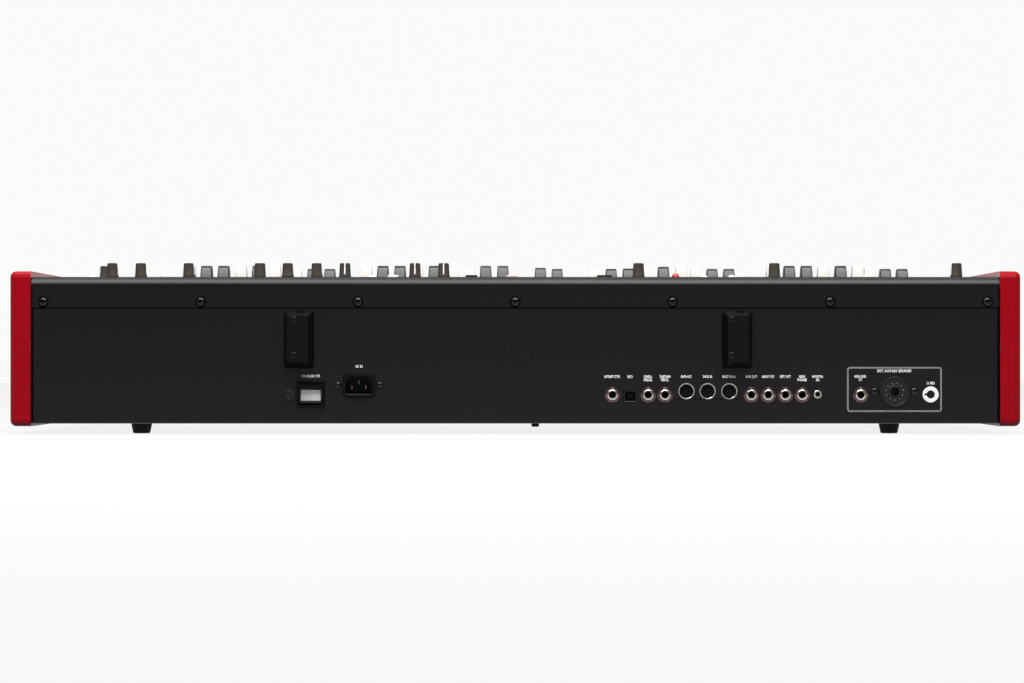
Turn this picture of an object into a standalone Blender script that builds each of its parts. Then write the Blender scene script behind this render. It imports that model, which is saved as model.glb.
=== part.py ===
"""Combo organ with two 61-key manuals and drawbars.

Metres, +Z up. The rear faces +Y and the player sits at -Y.
The origin is the centre of the footprint on the floor.
Depths are given as the distance forward of the rear panel, and depth_y turns one into a Y coordinate.
"""

import math

import bmesh
import bpy
from mathutils import Vector

# Overall sizes
FIT_GAP = 0.0003
SHEET = 0.0015

# Cheeks
CHEEK_THICKNESS = 0.0203
CHEEK_BOTTOM = 0.0075
CHEEK_TOP = 0.15715
CHEEK_ROUNDING = 0.0055
CHEEK_FLAT_BEFORE_UPPER_KEYS = 0.013
CHEEK_LOW_BEFORE_LOWER_KEYS = 0.029
CHEEK_LOW_TOP = 0.098

# Case
FLOOR_CLEARANCE = 0.01015
COVER_TOP = 0.152
COVER_BEND = 0.009
LIP_EDGE = 0.12175
PANEL_SLOPE = math.radians(1.6)
PANEL_DEPTH = 0.150
PANEL_FLANGE = 0.0165
RAIL_THICKNESS = 0.0058
RAIL_TOP = 0.063
BLOCK_TOP_OVER_KEYS = 0.004
LOWER_BLOCK_LENGTH = 0.124

# Manuals
NATURAL_COUNT = 36
NATURAL_PITCH = 0.0235
KEY_GAP = 0.0009
HEAD_LENGTH = 0.048
KEY_THICKNESS = 0.010
WATERFALL = 0.022
SKIRT_THICKNESS = 0.004
KEY_LENGTH = 0.160
KEY_DIP = 0.010
STOP_FELT = 0.002
CHASSIS_DEPTH = 0.033
SHARP_WIDTH = 0.0115
SHARP_TOP_WIDTH = 0.0093
SHARP_HEIGHT = 0.0118
SHARP_NOSE_GAP = 0.0018
SHARP_REAR_ROOM = 0.0242
UPPER_KEYS_SHOWN = 0.138
MANUAL_STEP = 0.076
RAIL_ROOM = 0.008
END_BLOCK_WIDTH = 0.0442
LOWER_TOP = 0.080
UPPER_TOP = 0.129
WATERFALL_ROUNDING = 0.0035
HINGE_RAIL = 0.008
SIDE_RAIL = 0.007
HINGE_PIN_RADIUS = 0.002
RAIL_CLEARANCE = 0.002
TAIL_GAP = 0.002
LUG_LENGTH = 0.006
CHASSIS_REAR_ROOM = 0.006
CHASSIS_REAR_RISE = 0.008
STOP_RAIL_INSET = 0.028
PLATE_RISE = 0.0105
PLATE_LENGTH = 0.0255
LEG_INSETS = (0.016, 0.030)
LEG_FOOT = 0.012

# Wood between and below the manuals
SLIP_OVER_SHARPS = 0.0025
SLIP_HEIGHT = 0.011
SLIP_DEPTHS = (0.007, 0.026)
SLIP_END_ROOM = 0.010
LOWER_BLOCK_FLOOR = 0.030
BLOCK_NOSES = (0.006, 0.008)

# Joined pieces: how far one reaches into the piece that carries it, and how far a cutter runs past a face
SUNK = 0.0005
CUT_PAST = 0.004

# Controls
KNOB_BASE_RADIUS = 0.00585
KNOB_TOP_RADIUS = 0.00505
KNOB_HEIGHT = 0.0146
KNOB_FLOAT = 0.0008
KNOB_EDGE = 0.0008
SHAFT_RADIUS = 0.003
SHAFT_REACH = 0.0045
SHAFT_ROOM = 0.0004
KNOB_ROW = 0.035
SECOND_ROW = 0.082
DRAWBAR_PITCH = 0.01685
DRAWBAR_WIDTH = 0.0116
DRAWBAR_HEIGHT = 0.0133
DRAWBAR_TRAVEL = 0.050
DRAWBAR_IN = 0.060
STEM_WIDTH = 0.0026
STEM_LENGTH = 0.006
SLOT_ROOM = 0.0008
SLOT_SPARE = 0.002
CAP_FLOAT = 0.0008
CAP_LENGTH = 0.014
CAP_SHOULDER = 0.007
CAP_SHOULDER_LENGTH = 0.0128
CAP_TOP_LENGTH = 0.0084
CAP_SIDE_DRAFT = 0.0003
CAP_TOP_DRAFT = 0.0007
CAP_EDGE = 0.0008
SET_CENTRE = -0.0334
NEAR_SET = 0.1131
FAR_SET = 0.2866
BUTTON_WIDTH = 0.0106
BUTTON_LENGTH = 0.0066
BUTTON_HEIGHT = 0.003
BUTTON_REACH = 0.0035
BUTTON_EDGE = 0.0006
BUTTON_CORNER = 0.001
BUTTON_TRAVEL = 0.0012

# Rear fittings: places are X and Z on the rear panel
JACK_HEIGHT = 0.03795
JACK_PLACES = (-0.0935, -0.1280, -0.1442, -0.2273, -0.2436, -0.2601, -0.2763, -0.3327)
JACK_BARREL = 0.0048
JACK_BORE = 0.0033
JACK_PROUD = 0.002
JACK_BORE_DEPTH = 0.027
JACK_BODY = (0.014, 0.030)
MINI_PLACE = (-0.2912, 0.03845)
MINI_RADIUS = 0.0037
MINI_BORE = 0.0018
MINI_BORE_DEPTH = 0.013
MINI_PROUD = 0.001
MINI_BODY_WIDTH = 0.009
USB_PLACE = (-0.1106, 0.03665)
USB_SIZE = (0.0120, 0.0108)
USB_WALLS = (0.0022, 0.0024)
USB_CAVITY_DEPTH = 0.009
DIN_PLACES = (-0.1648, -0.1852, -0.2061)
DIN_HEIGHT = 0.04145
DIN_RADIUS = 0.0076
DIN_WALL = 0.001
DIN_PROUD = 0.0006
DIN_BORE_DEPTH = 0.0065
DIN_BODY = (0.016, 0.016)
JACK_BODY_RISE = 0.0068
DIN_BODY_RISE = 0.0085
ROTARY_PLACE = (-0.3653, 0.04105)
ROTARY_RADIUS = 0.01435
ROTARY_HUB = 0.0043
ROTARY_HUB_DEPTH = 0.010
ROTARY_STEP = 0.0015
ROTARY_DEPTHS = (0.014, 0.004)
ROTARY_PROUD = 0.0014
ROTARY_EDGE = 0.0006
ROTARY_PLATE = (0.046, 0.024)
ROTARY_PLATE_DEPTHS = (0.0048, 0.0024)
INLET_PLACE = (0.1508, 0.04715)
INLET_SIZE = (0.0304, 0.0239)
INLET_CAVITY = (0.0244, 0.0160)
INLET_CAVITY_CUT = 0.0055
INLET_CAVITY_DEPTH = 0.0155
INLET_CORNER = 0.0048
INLET_DEPTH = 0.024
INLET_PROUD = 0.0016
INLET_FLANGE = (0.050, 0.0259)
INLET_FLANGE_DEPTH = 0.0042
INLET_PINS = ((0.0, 0.0030), (-0.0067, -0.0018), (0.0067, -0.0018))
INLET_PIN_SIZE = (0.0020, 0.0040)
INLET_PIN_DEPTHS = (0.0170, 0.0020)
SWITCH_PLACE = (0.1971, 0.03845)
SWITCH_SIZE = (0.0263, 0.0257)
SWITCH_PROUD = 0.0022
SWITCH_BODY_INSET = (0.0036, 0.0021)
SWITCH_BODY_DEPTH = 0.022
SWITCH_WINDOW_DEPTH = 0.010
ROCKER_SIZE = (0.0199, 0.0205)
ROCKER_END_ROOM = 0.0008
ROCKER_FACE = 0.0052
ROCKER_DISH = 0.0018
ROCKER_SIDE = 0.005
ROCKER_HEEL = (0.007, 0.0032)
ROCKER_TILT = 7.0
ROCKER_AXIS_DEPTH = 0.0045
FUSE_PLACE = (0.2171, 0.03765)
FUSE_RADIUS = 0.0054
FUSE_NECK = 0.0041
FUSE_DEPTH = 0.030
FUSE_PROUD = 0.003
FUSE_EDGE = 0.0008
FUSE_SLOT = (0.0076, 0.0024, 0.0013)
BRACKET_PLACES = {"stand_bracket_right": 0.2086, "stand_bracket_left": -0.2136}
BRACKET_BASE = (0.0292, 0.0563)
BRACKET_FACE = (0.0202, 0.0450)
BRACKET_HEIGHT = 0.0916
BRACKET_DEPTH = 0.017
BRACKET_BORE = 0.00385
BRACKET_BORE_SHIFT = -0.0031
BRACKET_BORE_OUT = 0.0072
BRACKET_LEAN = 0.0006
BRACKET_SKIRT = 0.003
BRACKET_EDGE = 0.0012
BRACKET_CORNERS = (0.0032, 0.0030, 0.0026, 0.0024)
BRACKET_BORE_FLOOR = 0.004

# Folded sheets, boards and boxes inside: X, depth and height
REAR_PANEL_INSET = 0.0015
REAR_PANEL_FLANGE = 0.010
BOARD_THICKNESS = 0.0016
STANDOFF_RADIUS = 0.003
STANDOFF_INSET = 0.008
SUPPLY_X = (0.140, 0.262)
SUPPLY_DEPTHS = (0.075, 0.150)
SUPPLY_HEIGHT = 0.036
SUPPLY_EDGE = 0.0015
MAIN_BOARD_X = (-0.300, -0.060)
MAIN_BOARD_DEPTHS = (0.060, 0.170)
MAIN_BOARD_RISE = 0.010
MAIN_CHIPS = ((-0.22, 0.10, 0.028, 0.003), (-0.15, 0.09, 0.020, 0.003), (-0.10, 0.13, 0.024, 0.008))
CONNECTOR_BOARD_DROP = 0.0095
CONNECTOR_BOARD_DEPTHS = (0.0042, 0.036)
CONNECTOR_BOARD_ENDS = 0.010
CONNECTOR_STANDOFF_X = -0.215
CONNECTOR_BODY_PROUD = 0.0004
PANEL_BOARD_TOP = -0.010
PANEL_BOARD_HALF = 0.440
PANEL_BOARD_STEP_X = 0.345
PANEL_BOARD_REAR = 0.014
PANEL_BOARD_FRONT = 0.042
POT_SIZE = 0.010
KEY_SWITCH_SIZE = 0.006

# Feet
FOOT_TOP_RADIUS = 0.01035
FOOT_RADIUS = 0.00845
REAR_FEET = (0.3653, 0.040)
FRONT_FEET_PLACE = 0.404
FRONT_FEET_INSET = 0.042
MIDDLE_FOOT_PLACE = -0.0213
MIDDLE_FOOT_INSET = 0.068
MIDDLE_FOOT_RADIUS = 0.0045
FOOT_EDGE = 0.0008

# Worked out from the sizes above
WIDTH = NATURAL_COUNT * NATURAL_PITCH + 2 * (END_BLOCK_WIDTH + CHEEK_THICKNESS)
UPPER_FRONT = PANEL_DEPTH + UPPER_KEYS_SHOWN
LOWER_FRONT = UPPER_FRONT + MANUAL_STEP
BODY_DEPTH = LOWER_FRONT + RAIL_ROOM
SHARP_LENGTH = KEY_LENGTH - HEAD_LENGTH - SHARP_NOSE_GAP - SHARP_REAR_ROOM
CHEEK_FLAT_TO = UPPER_FRONT - CHEEK_FLAT_BEFORE_UPPER_KEYS
CHEEK_LOW_FROM = LOWER_FRONT - CHEEK_LOW_BEFORE_LOWER_KEYS
FRONT_FEET = (FRONT_FEET_PLACE, BODY_DEPTH - FRONT_FEET_INSET)
MIDDLE_FOOT = (MIDDLE_FOOT_PLACE, BODY_DEPTH - MIDDLE_FOOT_INSET)
REAR_Y = (BODY_DEPTH + BRACKET_DEPTH) / 2 - BRACKET_DEPTH
INSIDE_HALF = WIDTH / 2 - CHEEK_THICKNESS
CASE_HALF = INSIDE_HALF - FIT_GAP
KEYS_HALF = NATURAL_COUNT * NATURAL_PITCH / 2
PLATE_HALF = KEYS_HALF + SHEET
BLOCK_INNER = PLATE_HALF + FIT_GAP
PAN_TOP = FLOOR_CLEARANCE + SHEET
PAN_FLANGE_TOP = FLOOR_CLEARANCE + 0.013
ARC_STEP = math.radians(30)
SMALL_ARC_STEP = math.radians(45)


def depth_y(depth):
    return REAR_Y - depth


def panel_height(depth):
    """Height of the control panel's upper face at a depth."""
    return COVER_TOP - (depth - COVER_BEND) * math.tan(PANEL_SLOPE)


def clear_scene():
    for obj in list(bpy.data.objects):
        bpy.data.objects.remove(obj, do_unlink=True)


def material(name, colour, roughness, metallic=0.0):
    """A Principled material, made once for each name."""
    found = bpy.data.materials.get(name)
    if found:
        return found
    made = bpy.data.materials.new(name)
    made.use_nodes = True
    shader = made.node_tree.nodes["Principled BSDF"]
    shader.inputs["Base Color"].default_value = (*colour, 1.0)
    shader.inputs["Roughness"].default_value = roughness
    shader.inputs["Metallic"].default_value = metallic
    return made


def black_steel():
    return material("powder_coated_steel", (0.018, 0.015, 0.016), 0.45)


def black_plastic():
    return material("black_plastic", (0.012, 0.012, 0.012), 0.4)


def board_green():
    return material("circuit_board", (0.01, 0.07, 0.03), 0.5)


def bare_steel():
    return material("zinc_plated_steel", (0.45, 0.45, 0.43), 0.35, 1.0)


def fillet(points, closed=True):
    """Corners (u, v, radius), with each radius drawn as an arc of even steps."""
    path = []
    last = len(points) - 1
    for i, point in enumerate(points):
        here = Vector(point[:2])
        radius = point[2] if len(point) > 2 else 0.0
        if radius == 0.0 or (not closed and i in (0, last)):
            path.append(here)
            continue
        back = (Vector(points[i - 1][:2]) - here).normalized()
        on = (Vector(points[(i + 1) % len(points)][:2]) - here).normalized()
        half = back.angle(on) / 2
        centre = here + (back + on).normalized() * (radius / math.sin(half))
        arm = here + back * (radius / math.tan(half)) - centre
        end = here + on * (radius / math.tan(half)) - centre
        turn = math.atan2(arm.x * end.y - arm.y * end.x, arm.dot(end))
        step = ARC_STEP if radius > 0.0022 else SMALL_ARC_STEP
        steps = max(1, round(abs(turn) / step))
        start = math.atan2(arm.y, arm.x)
        for k in range(steps + 1):
            angle = start + turn * k / steps
            path.append(centre + Vector((math.cos(angle), math.sin(angle))) * radius)
    return path


def folded_sheet(points, thickness=SHEET):
    """Outline of a folded sheet: the path, and the same path moved to its left by the thickness."""
    path = fillet(points, closed=False)
    inner = []
    for i, here in enumerate(path):
        normals = []
        for a, b in ((i - 1, i), (i, i + 1)):
            if a >= 0 and b < len(path):
                way = (path[b] - path[a]).normalized()
                normals.append(Vector((-way.y, way.x)))
        mitre = normals[0] + normals[-1]
        inner.append(here + mitre * (thickness / (mitre.dot(normals[0]))))
    return path + inner[::-1]


def ring(centre, radius, segments, start=0.0):
    """Points of a circle, for an outline."""
    angles = [start + 2 * math.pi * k / segments for k in range(segments)]
    return [Vector((centre[0] + radius * math.cos(a), centre[1] + radius * math.sin(a))) for a in angles]


def rectangle(centre, size, radius=0.0):
    """Outline of a rectangle, with rounded corners where a radius is given."""
    u, v = centre
    a, b = size[0] / 2, size[1] / 2
    corners = ((u - a, v - b), (u + a, v - b), (u + a, v + b), (u - a, v + b))
    return fillet([(*corner, radius) for corner in corners])


def place(axis, u, v, w):
    """The outline's u and v and the run w as X, Y and Z: an outline across X is drawn in Y and Z."""
    return {"X": (w, u, v), "Y": (u, w, v), "Z": (u, v, w)}[axis]


def add_prism(bm, outline, axis, start, end):
    """An outline carried straight along an axis, as one closed body. It gives back the new faces."""
    first = [bm.verts.new(place(axis, u, v, start)) for u, v in outline]
    second = [bm.verts.new(place(axis, u, v, end)) for u, v in outline]
    faces = [bm.faces.new(first), bm.faces.new(second)]
    for i in range(len(outline)):
        j = (i + 1) % len(outline)
        faces.append(bm.faces.new((first[i], first[j], second[j], second[i])))
    return faces


def add_loft(bm, rings):
    """Rings of equal count, each a list of points in space, bridged in turn and capped at both ends."""
    rows = [[bm.verts.new(point) for point in points] for points in rings]
    for lower, upper in zip(rows, rows[1:]):
        for i in range(len(lower)):
            j = (i + 1) % len(lower)
            bm.faces.new((lower[i], lower[j], upper[j], upper[i]))
    bm.faces.new(rows[0])
    bm.faces.new(rows[-1])


def add_turned(bm, axis, centre, profile, segments):
    """A turned body: profile pairs (place along the axis, radius), drawn about the axis through centre."""
    rings = []
    for w, radius in profile:
        rings.append([place(axis, u, v, w) for u, v in ring(centre, radius, segments)])
    add_loft(bm, rings)


def add_box(bm, x, y, z):
    """A box between pairs of X, Y and Z."""
    add_prism(bm, [(x[0], y[0]), (x[1], y[0]), (x[1], y[1]), (x[0], y[1])], "Z", z[0], z[1])


def add_tapered(bm, levels):
    """A rectangular body through levels of (z, half width, half length, shift in Y)."""
    rings = []
    for z, a, b, shift in levels:
        rings.append([(-a, shift - b, z), (a, shift - b, z), (a, shift + b, z), (-a, shift + b, z)])
    add_loft(bm, rings)


def make_object(name, bm, finish, origin=(0.0, 0.0, 0.0), smooth=False):
    """The mesh as a named object whose origin stands at the given point."""
    bmesh.ops.recalc_face_normals(bm, faces=bm.faces)
    bmesh.ops.translate(bm, verts=bm.verts, vec=-Vector(origin))
    mesh = bpy.data.meshes.new(name)
    bm.to_mesh(mesh)
    bm.free()
    if smooth:
        mesh.shade_smooth()
        mesh.set_sharp_from_angle(angle=math.radians(35))
    mesh.materials.append(finish)
    obj = bpy.data.objects.new(name, mesh)
    obj.location = origin
    bpy.context.scene.collection.objects.link(obj)
    return obj


def helper(name, bm, origin=(0.0, 0.0, 0.0)):
    """A shape that only cuts or joins another object."""
    obj = make_object(name, bm, black_plastic(), origin)
    obj.hide_render = True
    obj.display_type = "WIRE"
    return obj


def combine(target, other, operation):
    modifier = target.modifiers.new(operation.title() + " " + other.name, "BOOLEAN")
    modifier.operation = operation
    modifier.solver = "EXACT"
    modifier.object = other


def on_panel(obj, x, depth):
    """Stand an object, drawn about its own origin, on the sloping control panel."""
    obj.location = (x, depth_y(depth), panel_height(depth))
    obj.rotation_euler = (PANEL_SLOPE, 0.0, 0.0)


def cheek_outline():
    """Side view of a cheek: high beside the upper manual, low beside the lower one."""
    slope_in = (depth_y(CHEEK_FLAT_TO), CHEEK_TOP, 0.060)
    slope_out = (depth_y(CHEEK_LOW_FROM), CHEEK_LOW_TOP, 0.040)
    front = depth_y(BODY_DEPTH)
    return fillet(
        [
            (REAR_Y, CHEEK_BOTTOM, 0.006),
            (REAR_Y, CHEEK_TOP, 0.006),
            slope_in,
            slope_out,
            (front, CHEEK_LOW_TOP - 0.003, 0.012),
            (front, CHEEK_BOTTOM, 0.010),
        ]
    )


def build_cheek(name, side):
    """A solid cheek whose outer edge is rounded all the way round and whose inner edge is square."""
    bm = bmesh.new()
    faces = add_prism(bm, cheek_outline(), "X", side * INSIDE_HALF, side * WIDTH / 2)
    bmesh.ops.recalc_face_normals(bm, faces=bm.faces)
    outer = faces[1]
    bmesh.ops.bevel(
        bm,
        geom=list(outer.edges),
        offset=CHEEK_ROUNDING,
        segments=3,
        profile=0.5,
        affect="EDGES",
        clamp_overlap=True,
    )
    red = material("red_lacquer", (0.30, 0.004, 0.010), 0.3)
    return make_object(name, bm, red, smooth=True)


def drawbar_places():
    """Every drawbar as (name, X, how far it is pulled out), from the player's left in each set."""
    full = DRAWBAR_TRAVEL
    sets = {
        "solo_right": (SET_CENTRE + FAR_SET, (full, full, full, 0, 0, 0, 0, 0, 0)),
        "solo_left": (SET_CENTRE + NEAR_SET, (0, 0, 0.9 * full, 0.86 * full, 0, 0, 0, 0, 0)),
        "main_right": (
            SET_CENTRE - NEAR_SET,
            (full, full, 0.75 * full, 0, 0.3 * full, 0.7 * full, 0.87 * full, full, full),
        ),
        "main_left": (SET_CENTRE - FAR_SET, (full, full, 0.75 * full, 0, 0, 0, 0, 0, 0)),
        "bass": (SET_CENTRE, (full, 0.62 * full)),
    }
    places = []
    for label, (centre, pulls) in sets.items():
        first = centre - DRAWBAR_PITCH * (len(pulls) - 1) / 2
        for i, pull in enumerate(pulls):
            places.append((f"drawbar_{label}_{i + 1}", first + i * DRAWBAR_PITCH, pull))
    return places


def moves(name):
    """The bass drawbars and the set by the player's left hand are pieces of their own."""
    return "bass" in name or "main_left" in name


KNOB_PLACES = (
    (0.4075, SECOND_ROW),
    (0.3931, KNOB_ROW),
    (0.3653, KNOB_ROW),
    (0.3185, KNOB_ROW),
    (0.2492, KNOB_ROW),
    (0.2219, KNOB_ROW),
    (0.1936, KNOB_ROW),
    (0.1662, KNOB_ROW),
    (0.0979, KNOB_ROW),
    (0.0699, KNOB_ROW),
    (-0.1202, KNOB_ROW),
    (-0.2527, KNOB_ROW),
    (-0.4303, KNOB_ROW),
)
BUTTON_PLACES = ((0.3412, KNOB_ROW), (0.1192, KNOB_ROW), (0.0033, KNOB_ROW), (-0.2292, KNOB_ROW))


def build_top_cover():
    """Control panel, rear bend and lip in one folded sheet, with its slots, shaft holes and button holes."""
    path = [
        (depth_y(0), LIP_EDGE),
        (depth_y(0), COVER_TOP, COVER_BEND),
        (depth_y(PANEL_DEPTH), panel_height(PANEL_DEPTH), 0.003),
        (depth_y(PANEL_DEPTH), panel_height(PANEL_DEPTH) - PANEL_FLANGE),
    ]
    bm = bmesh.new()
    add_prism(bm, folded_sheet(path), "X", -CASE_HALF, CASE_HALF)
    cover = make_object("top_cover", bm, black_steel(), smooth=True)

    cuts = bmesh.new()
    low, high = panel_height(PANEL_DEPTH) - CUT_PAST, COVER_TOP + CUT_PAST
    slot_width = STEM_WIDTH + SLOT_ROOM
    slot_length = DRAWBAR_TRAVEL + STEM_LENGTH + SLOT_SPARE
    slot_y = depth_y(DRAWBAR_IN + DRAWBAR_TRAVEL / 2)
    for _, x, _ in drawbar_places():
        add_prism(cuts, rectangle((x, slot_y), (slot_width, slot_length)), "Z", low, high)
    for x, depth in KNOB_PLACES:
        add_prism(cuts, ring((x, depth_y(depth)), SHAFT_RADIUS + SHAFT_ROOM, 8), "Z", low, high)
    button_hole = (BUTTON_WIDTH + 2 * FIT_GAP, BUTTON_LENGTH + 2 * FIT_GAP)
    for x, depth in BUTTON_PLACES:
        add_prism(cuts, rectangle((x, depth_y(depth)), button_hole, 0.0012), "Z", low, high)
    combine(cover, helper("cover_cuts", cuts), "DIFFERENCE")


def build_rear_panel():
    """Folded sheet below the lip of the cover, with flanges at both ends and a hole for each fitting."""
    edge = CASE_HALF - REAR_PANEL_INSET
    path = [
        (-edge, depth_y(REAR_PANEL_FLANGE)),
        (-edge, REAR_Y, 0.002),
        (edge, REAR_Y, 0.002),
        (edge, depth_y(REAR_PANEL_FLANGE)),
    ]
    bm = bmesh.new()
    add_prism(bm, folded_sheet(path, -SHEET), "Z", PAN_TOP + FIT_GAP, LIP_EDGE - FIT_GAP)
    panel = make_object("rear_panel", bm, black_steel())

    cuts = bmesh.new()
    outlines = [ring((x, JACK_HEIGHT), JACK_BARREL + FIT_GAP, 10) for x in JACK_PLACES]
    outlines += [ring((x, DIN_HEIGHT), DIN_RADIUS + FIT_GAP, 12) for x in DIN_PLACES]
    outlines.append(ring(MINI_PLACE, MINI_RADIUS + FIT_GAP, 8))
    outlines.append(ring(ROTARY_PLACE, ROTARY_RADIUS + FIT_GAP, 20))
    outlines.append(ring(FUSE_PLACE, FUSE_NECK + FIT_GAP, 12))
    outlines.append(rectangle(USB_PLACE, (USB_SIZE[0] + 2 * FIT_GAP, USB_SIZE[1] + 2 * FIT_GAP)))
    outlines.append(rectangle(INLET_PLACE, (INLET_SIZE[0] + 2 * FIT_GAP, INLET_SIZE[1] + 2 * FIT_GAP), 0.005))
    body = [size - inset + 2 * FIT_GAP for size, inset in zip(SWITCH_SIZE, SWITCH_BODY_INSET)]
    outlines.append(rectangle(SWITCH_PLACE, body))
    for outline in outlines:
        add_prism(cuts, outline, "Y", depth_y(SHEET + CUT_PAST), depth_y(-CUT_PAST))
    for side in (-1, 1):
        # The end flanges stop above the rear flange of the pan.
        across = sorted((side * (edge - 2 * SHEET), side * CASE_HALF))
        reach = depth_y(REAR_PANEL_FLANGE + CUT_PAST)
        add_box(cuts, across, (reach, depth_y(SHEET)), (0.0, PAN_FLANGE_TOP + FIT_GAP))
    combine(panel, helper("rear_panel_cuts", cuts), "DIFFERENCE")


def build_bottom_pan():
    """Folded tray that closes the case below."""
    front = BODY_DEPTH - RAIL_THICKNESS - FIT_GAP
    rear = SHEET + FIT_GAP
    path = [
        (depth_y(front), PAN_FLANGE_TOP),
        (depth_y(front), FLOOR_CLEARANCE, 0.002),
        (depth_y(rear), FLOOR_CLEARANCE, 0.002),
        (depth_y(rear), PAN_FLANGE_TOP),
    ]
    bm = bmesh.new()
    add_prism(bm, folded_sheet(path), "X", -CASE_HALF, CASE_HALF)
    make_object("bottom_pan", bm, black_steel())


def end_block(bm, side, rear, front, bottom, top, nose):
    """A block beside a manual: its side view has a rounded nose."""
    outline = fillet(
        [
            (depth_y(rear), bottom),
            (depth_y(rear), top, 0.0015),
            (depth_y(front), top, nose),
            (depth_y(front), bottom, 0.002),
        ]
    )
    add_prism(bm, outline, "X", side * BLOCK_INNER, side * CASE_HALF)


def build_front_rail():
    """Rail below the keys of the lower manual, in one piece with the blocks at its ends."""
    rail = fillet(
        [
            (depth_y(BODY_DEPTH), PAN_TOP, 0.003),
            (depth_y(BODY_DEPTH), RAIL_TOP, 0.004),
            (depth_y(BODY_DEPTH - RAIL_THICKNESS), RAIL_TOP, 0.001),
            (depth_y(BODY_DEPTH - RAIL_THICKNESS), PAN_TOP),
        ]
    )
    bm = bmesh.new()
    add_prism(bm, rail, "X", -CASE_HALF, CASE_HALF)
    front_rail = make_object("front_rail", bm, black_steel(), smooth=True)
    blocks = bmesh.new()
    for side in (-1, 1):
        top = LOWER_TOP + BLOCK_TOP_OVER_KEYS
        bottom, rear = PAN_TOP + LOWER_BLOCK_FLOOR, LOWER_FRONT - LOWER_BLOCK_LENGTH
        end_block(blocks, side, rear, BODY_DEPTH - SUNK, bottom, top, BLOCK_NOSES[0])
    combine(front_rail, helper("lower_end_blocks", blocks), "UNION")


def build_manual_divider():
    """Slip below the upper manual, in one piece with the blocks at its ends."""
    bottom = LOWER_TOP + SHARP_HEIGHT + SLIP_OVER_SHARPS
    slip_front, slip_rear = (UPPER_FRONT - depth for depth in SLIP_DEPTHS)
    slip = fillet(
        [
            (depth_y(slip_front), bottom, 0.002),
            (depth_y(slip_front), bottom + SLIP_HEIGHT, 0.002),
            (depth_y(slip_rear), bottom + SLIP_HEIGHT),
            (depth_y(slip_rear), bottom),
        ]
    )
    bm = bmesh.new()
    add_prism(bm, slip, "X", -CASE_HALF + SLIP_END_ROOM, CASE_HALF - SLIP_END_ROOM)
    divider = make_object("manual_divider", bm, black_steel(), smooth=True)
    blocks = bmesh.new()
    for side in (-1, 1):
        top = UPPER_TOP + BLOCK_TOP_OVER_KEYS
        end_block(blocks, side, PANEL_DEPTH + FIT_GAP, UPPER_FRONT, bottom - SUNK, top, BLOCK_NOSES[1])
    combine(divider, helper("upper_end_blocks", blocks), "UNION")


# Keys

NATURALS = "CDEFGAB"
SHARP_SHIFT = {"C": -0.0024, "D": 0.0024, "F": -0.0036, "G": 0.0, "A": 0.0036}


def natural_letter(i):
    return NATURALS[i % len(NATURALS)]


def key_left(i):
    return -KEYS_HALF + i * NATURAL_PITCH


def sharp_centre(i):
    """Centre of the sharp between naturals i and i + 1, or None where there isn't one."""
    if not 0 <= i < NATURAL_COUNT - 1 or natural_letter(i) not in SHARP_SHIFT:
        return None
    return key_left(i + 1) + SHARP_SHIFT[natural_letter(i)]


def natural_sides(i):
    """Left and right of a natural's body behind its head, cut away beside each sharp."""
    before, after = sharp_centre(i - 1), sharp_centre(i)
    left = key_left(i) + KEY_GAP / 2 if before is None else before + SHARP_WIDTH / 2 + KEY_GAP
    right = key_left(i + 1) - KEY_GAP / 2 if after is None else after - SHARP_WIDTH / 2 - KEY_GAP
    return left, right


def add_natural(bm, i, front, top, tail, lug_top):
    """A waterfall key: a wide head with a skirt, a narrower body, and a lug if its rail is above."""
    left, right = key_left(i) + KEY_GAP / 2, key_left(i + 1) - KEY_GAP / 2
    body_left, body_right = natural_sides(i)
    face_y, skirt_y = depth_y(front), depth_y(front - SKIRT_THICKNESS)
    head_y, tail_y = depth_y(front - HEAD_LENGTH), depth_y(tail)
    lug_y = tail_y - LUG_LENGTH

    outline = [(left, skirt_y), (right, skirt_y), (right, head_y)]
    if body_right != right:
        outline.append((body_right, head_y))
    lug = [(body_right, lug_y), (body_right, tail_y), (body_left, tail_y), (body_left, lug_y)]
    first_lug = len(outline)
    outline += lug if lug_top else lug[1:3]
    if body_left != left:
        outline.append((body_left, head_y))
    outline.append((left, head_y))

    def level(points, z):
        return [bm.verts.new((x, y, z)) for x, y in points]

    upper, lower = level(outline, top), level(outline, top - KEY_THICKNESS)
    bm.faces.new(lower)
    if lug_top:
        raised = level(lug, lug_top)
        foot = upper[first_lug : first_lug + 4]
        bm.faces.new(upper[: first_lug + 1] + upper[first_lug + 3 :])
        bm.faces.new(raised)
        for a in range(4):
            b = (a + 1) % 4
            bm.faces.new((foot[a], foot[b], raised[b], raised[a]))
    else:
        bm.faces.new(upper)
    for a in range(1, len(outline)):
        b = (a + 1) % len(outline)
        bm.faces.new((upper[a], upper[b], lower[b], lower[a]))

    nose_top = level([(left, face_y), (right, face_y)], top)
    nose_foot = level([(left, face_y), (right, face_y)], top - WATERFALL)
    skirt_foot = level([(left, skirt_y), (right, skirt_y)], top - WATERFALL)
    bm.faces.new((nose_top[0], nose_top[1], upper[1], upper[0]))
    bm.faces.new((nose_foot[0], nose_foot[1], skirt_foot[1], skirt_foot[0]))
    bm.faces.new((lower[0], lower[1], skirt_foot[1], skirt_foot[0]))
    for a in (0, 1):
        bm.faces.new((nose_top[a], upper[a], lower[a], skirt_foot[a], nose_foot[a]))
    face = bm.faces.new((nose_top[0], nose_top[1], nose_foot[1], nose_foot[0]))
    return next(edge for edge in face.edges if {*edge.verts} == {*nose_top})


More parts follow.
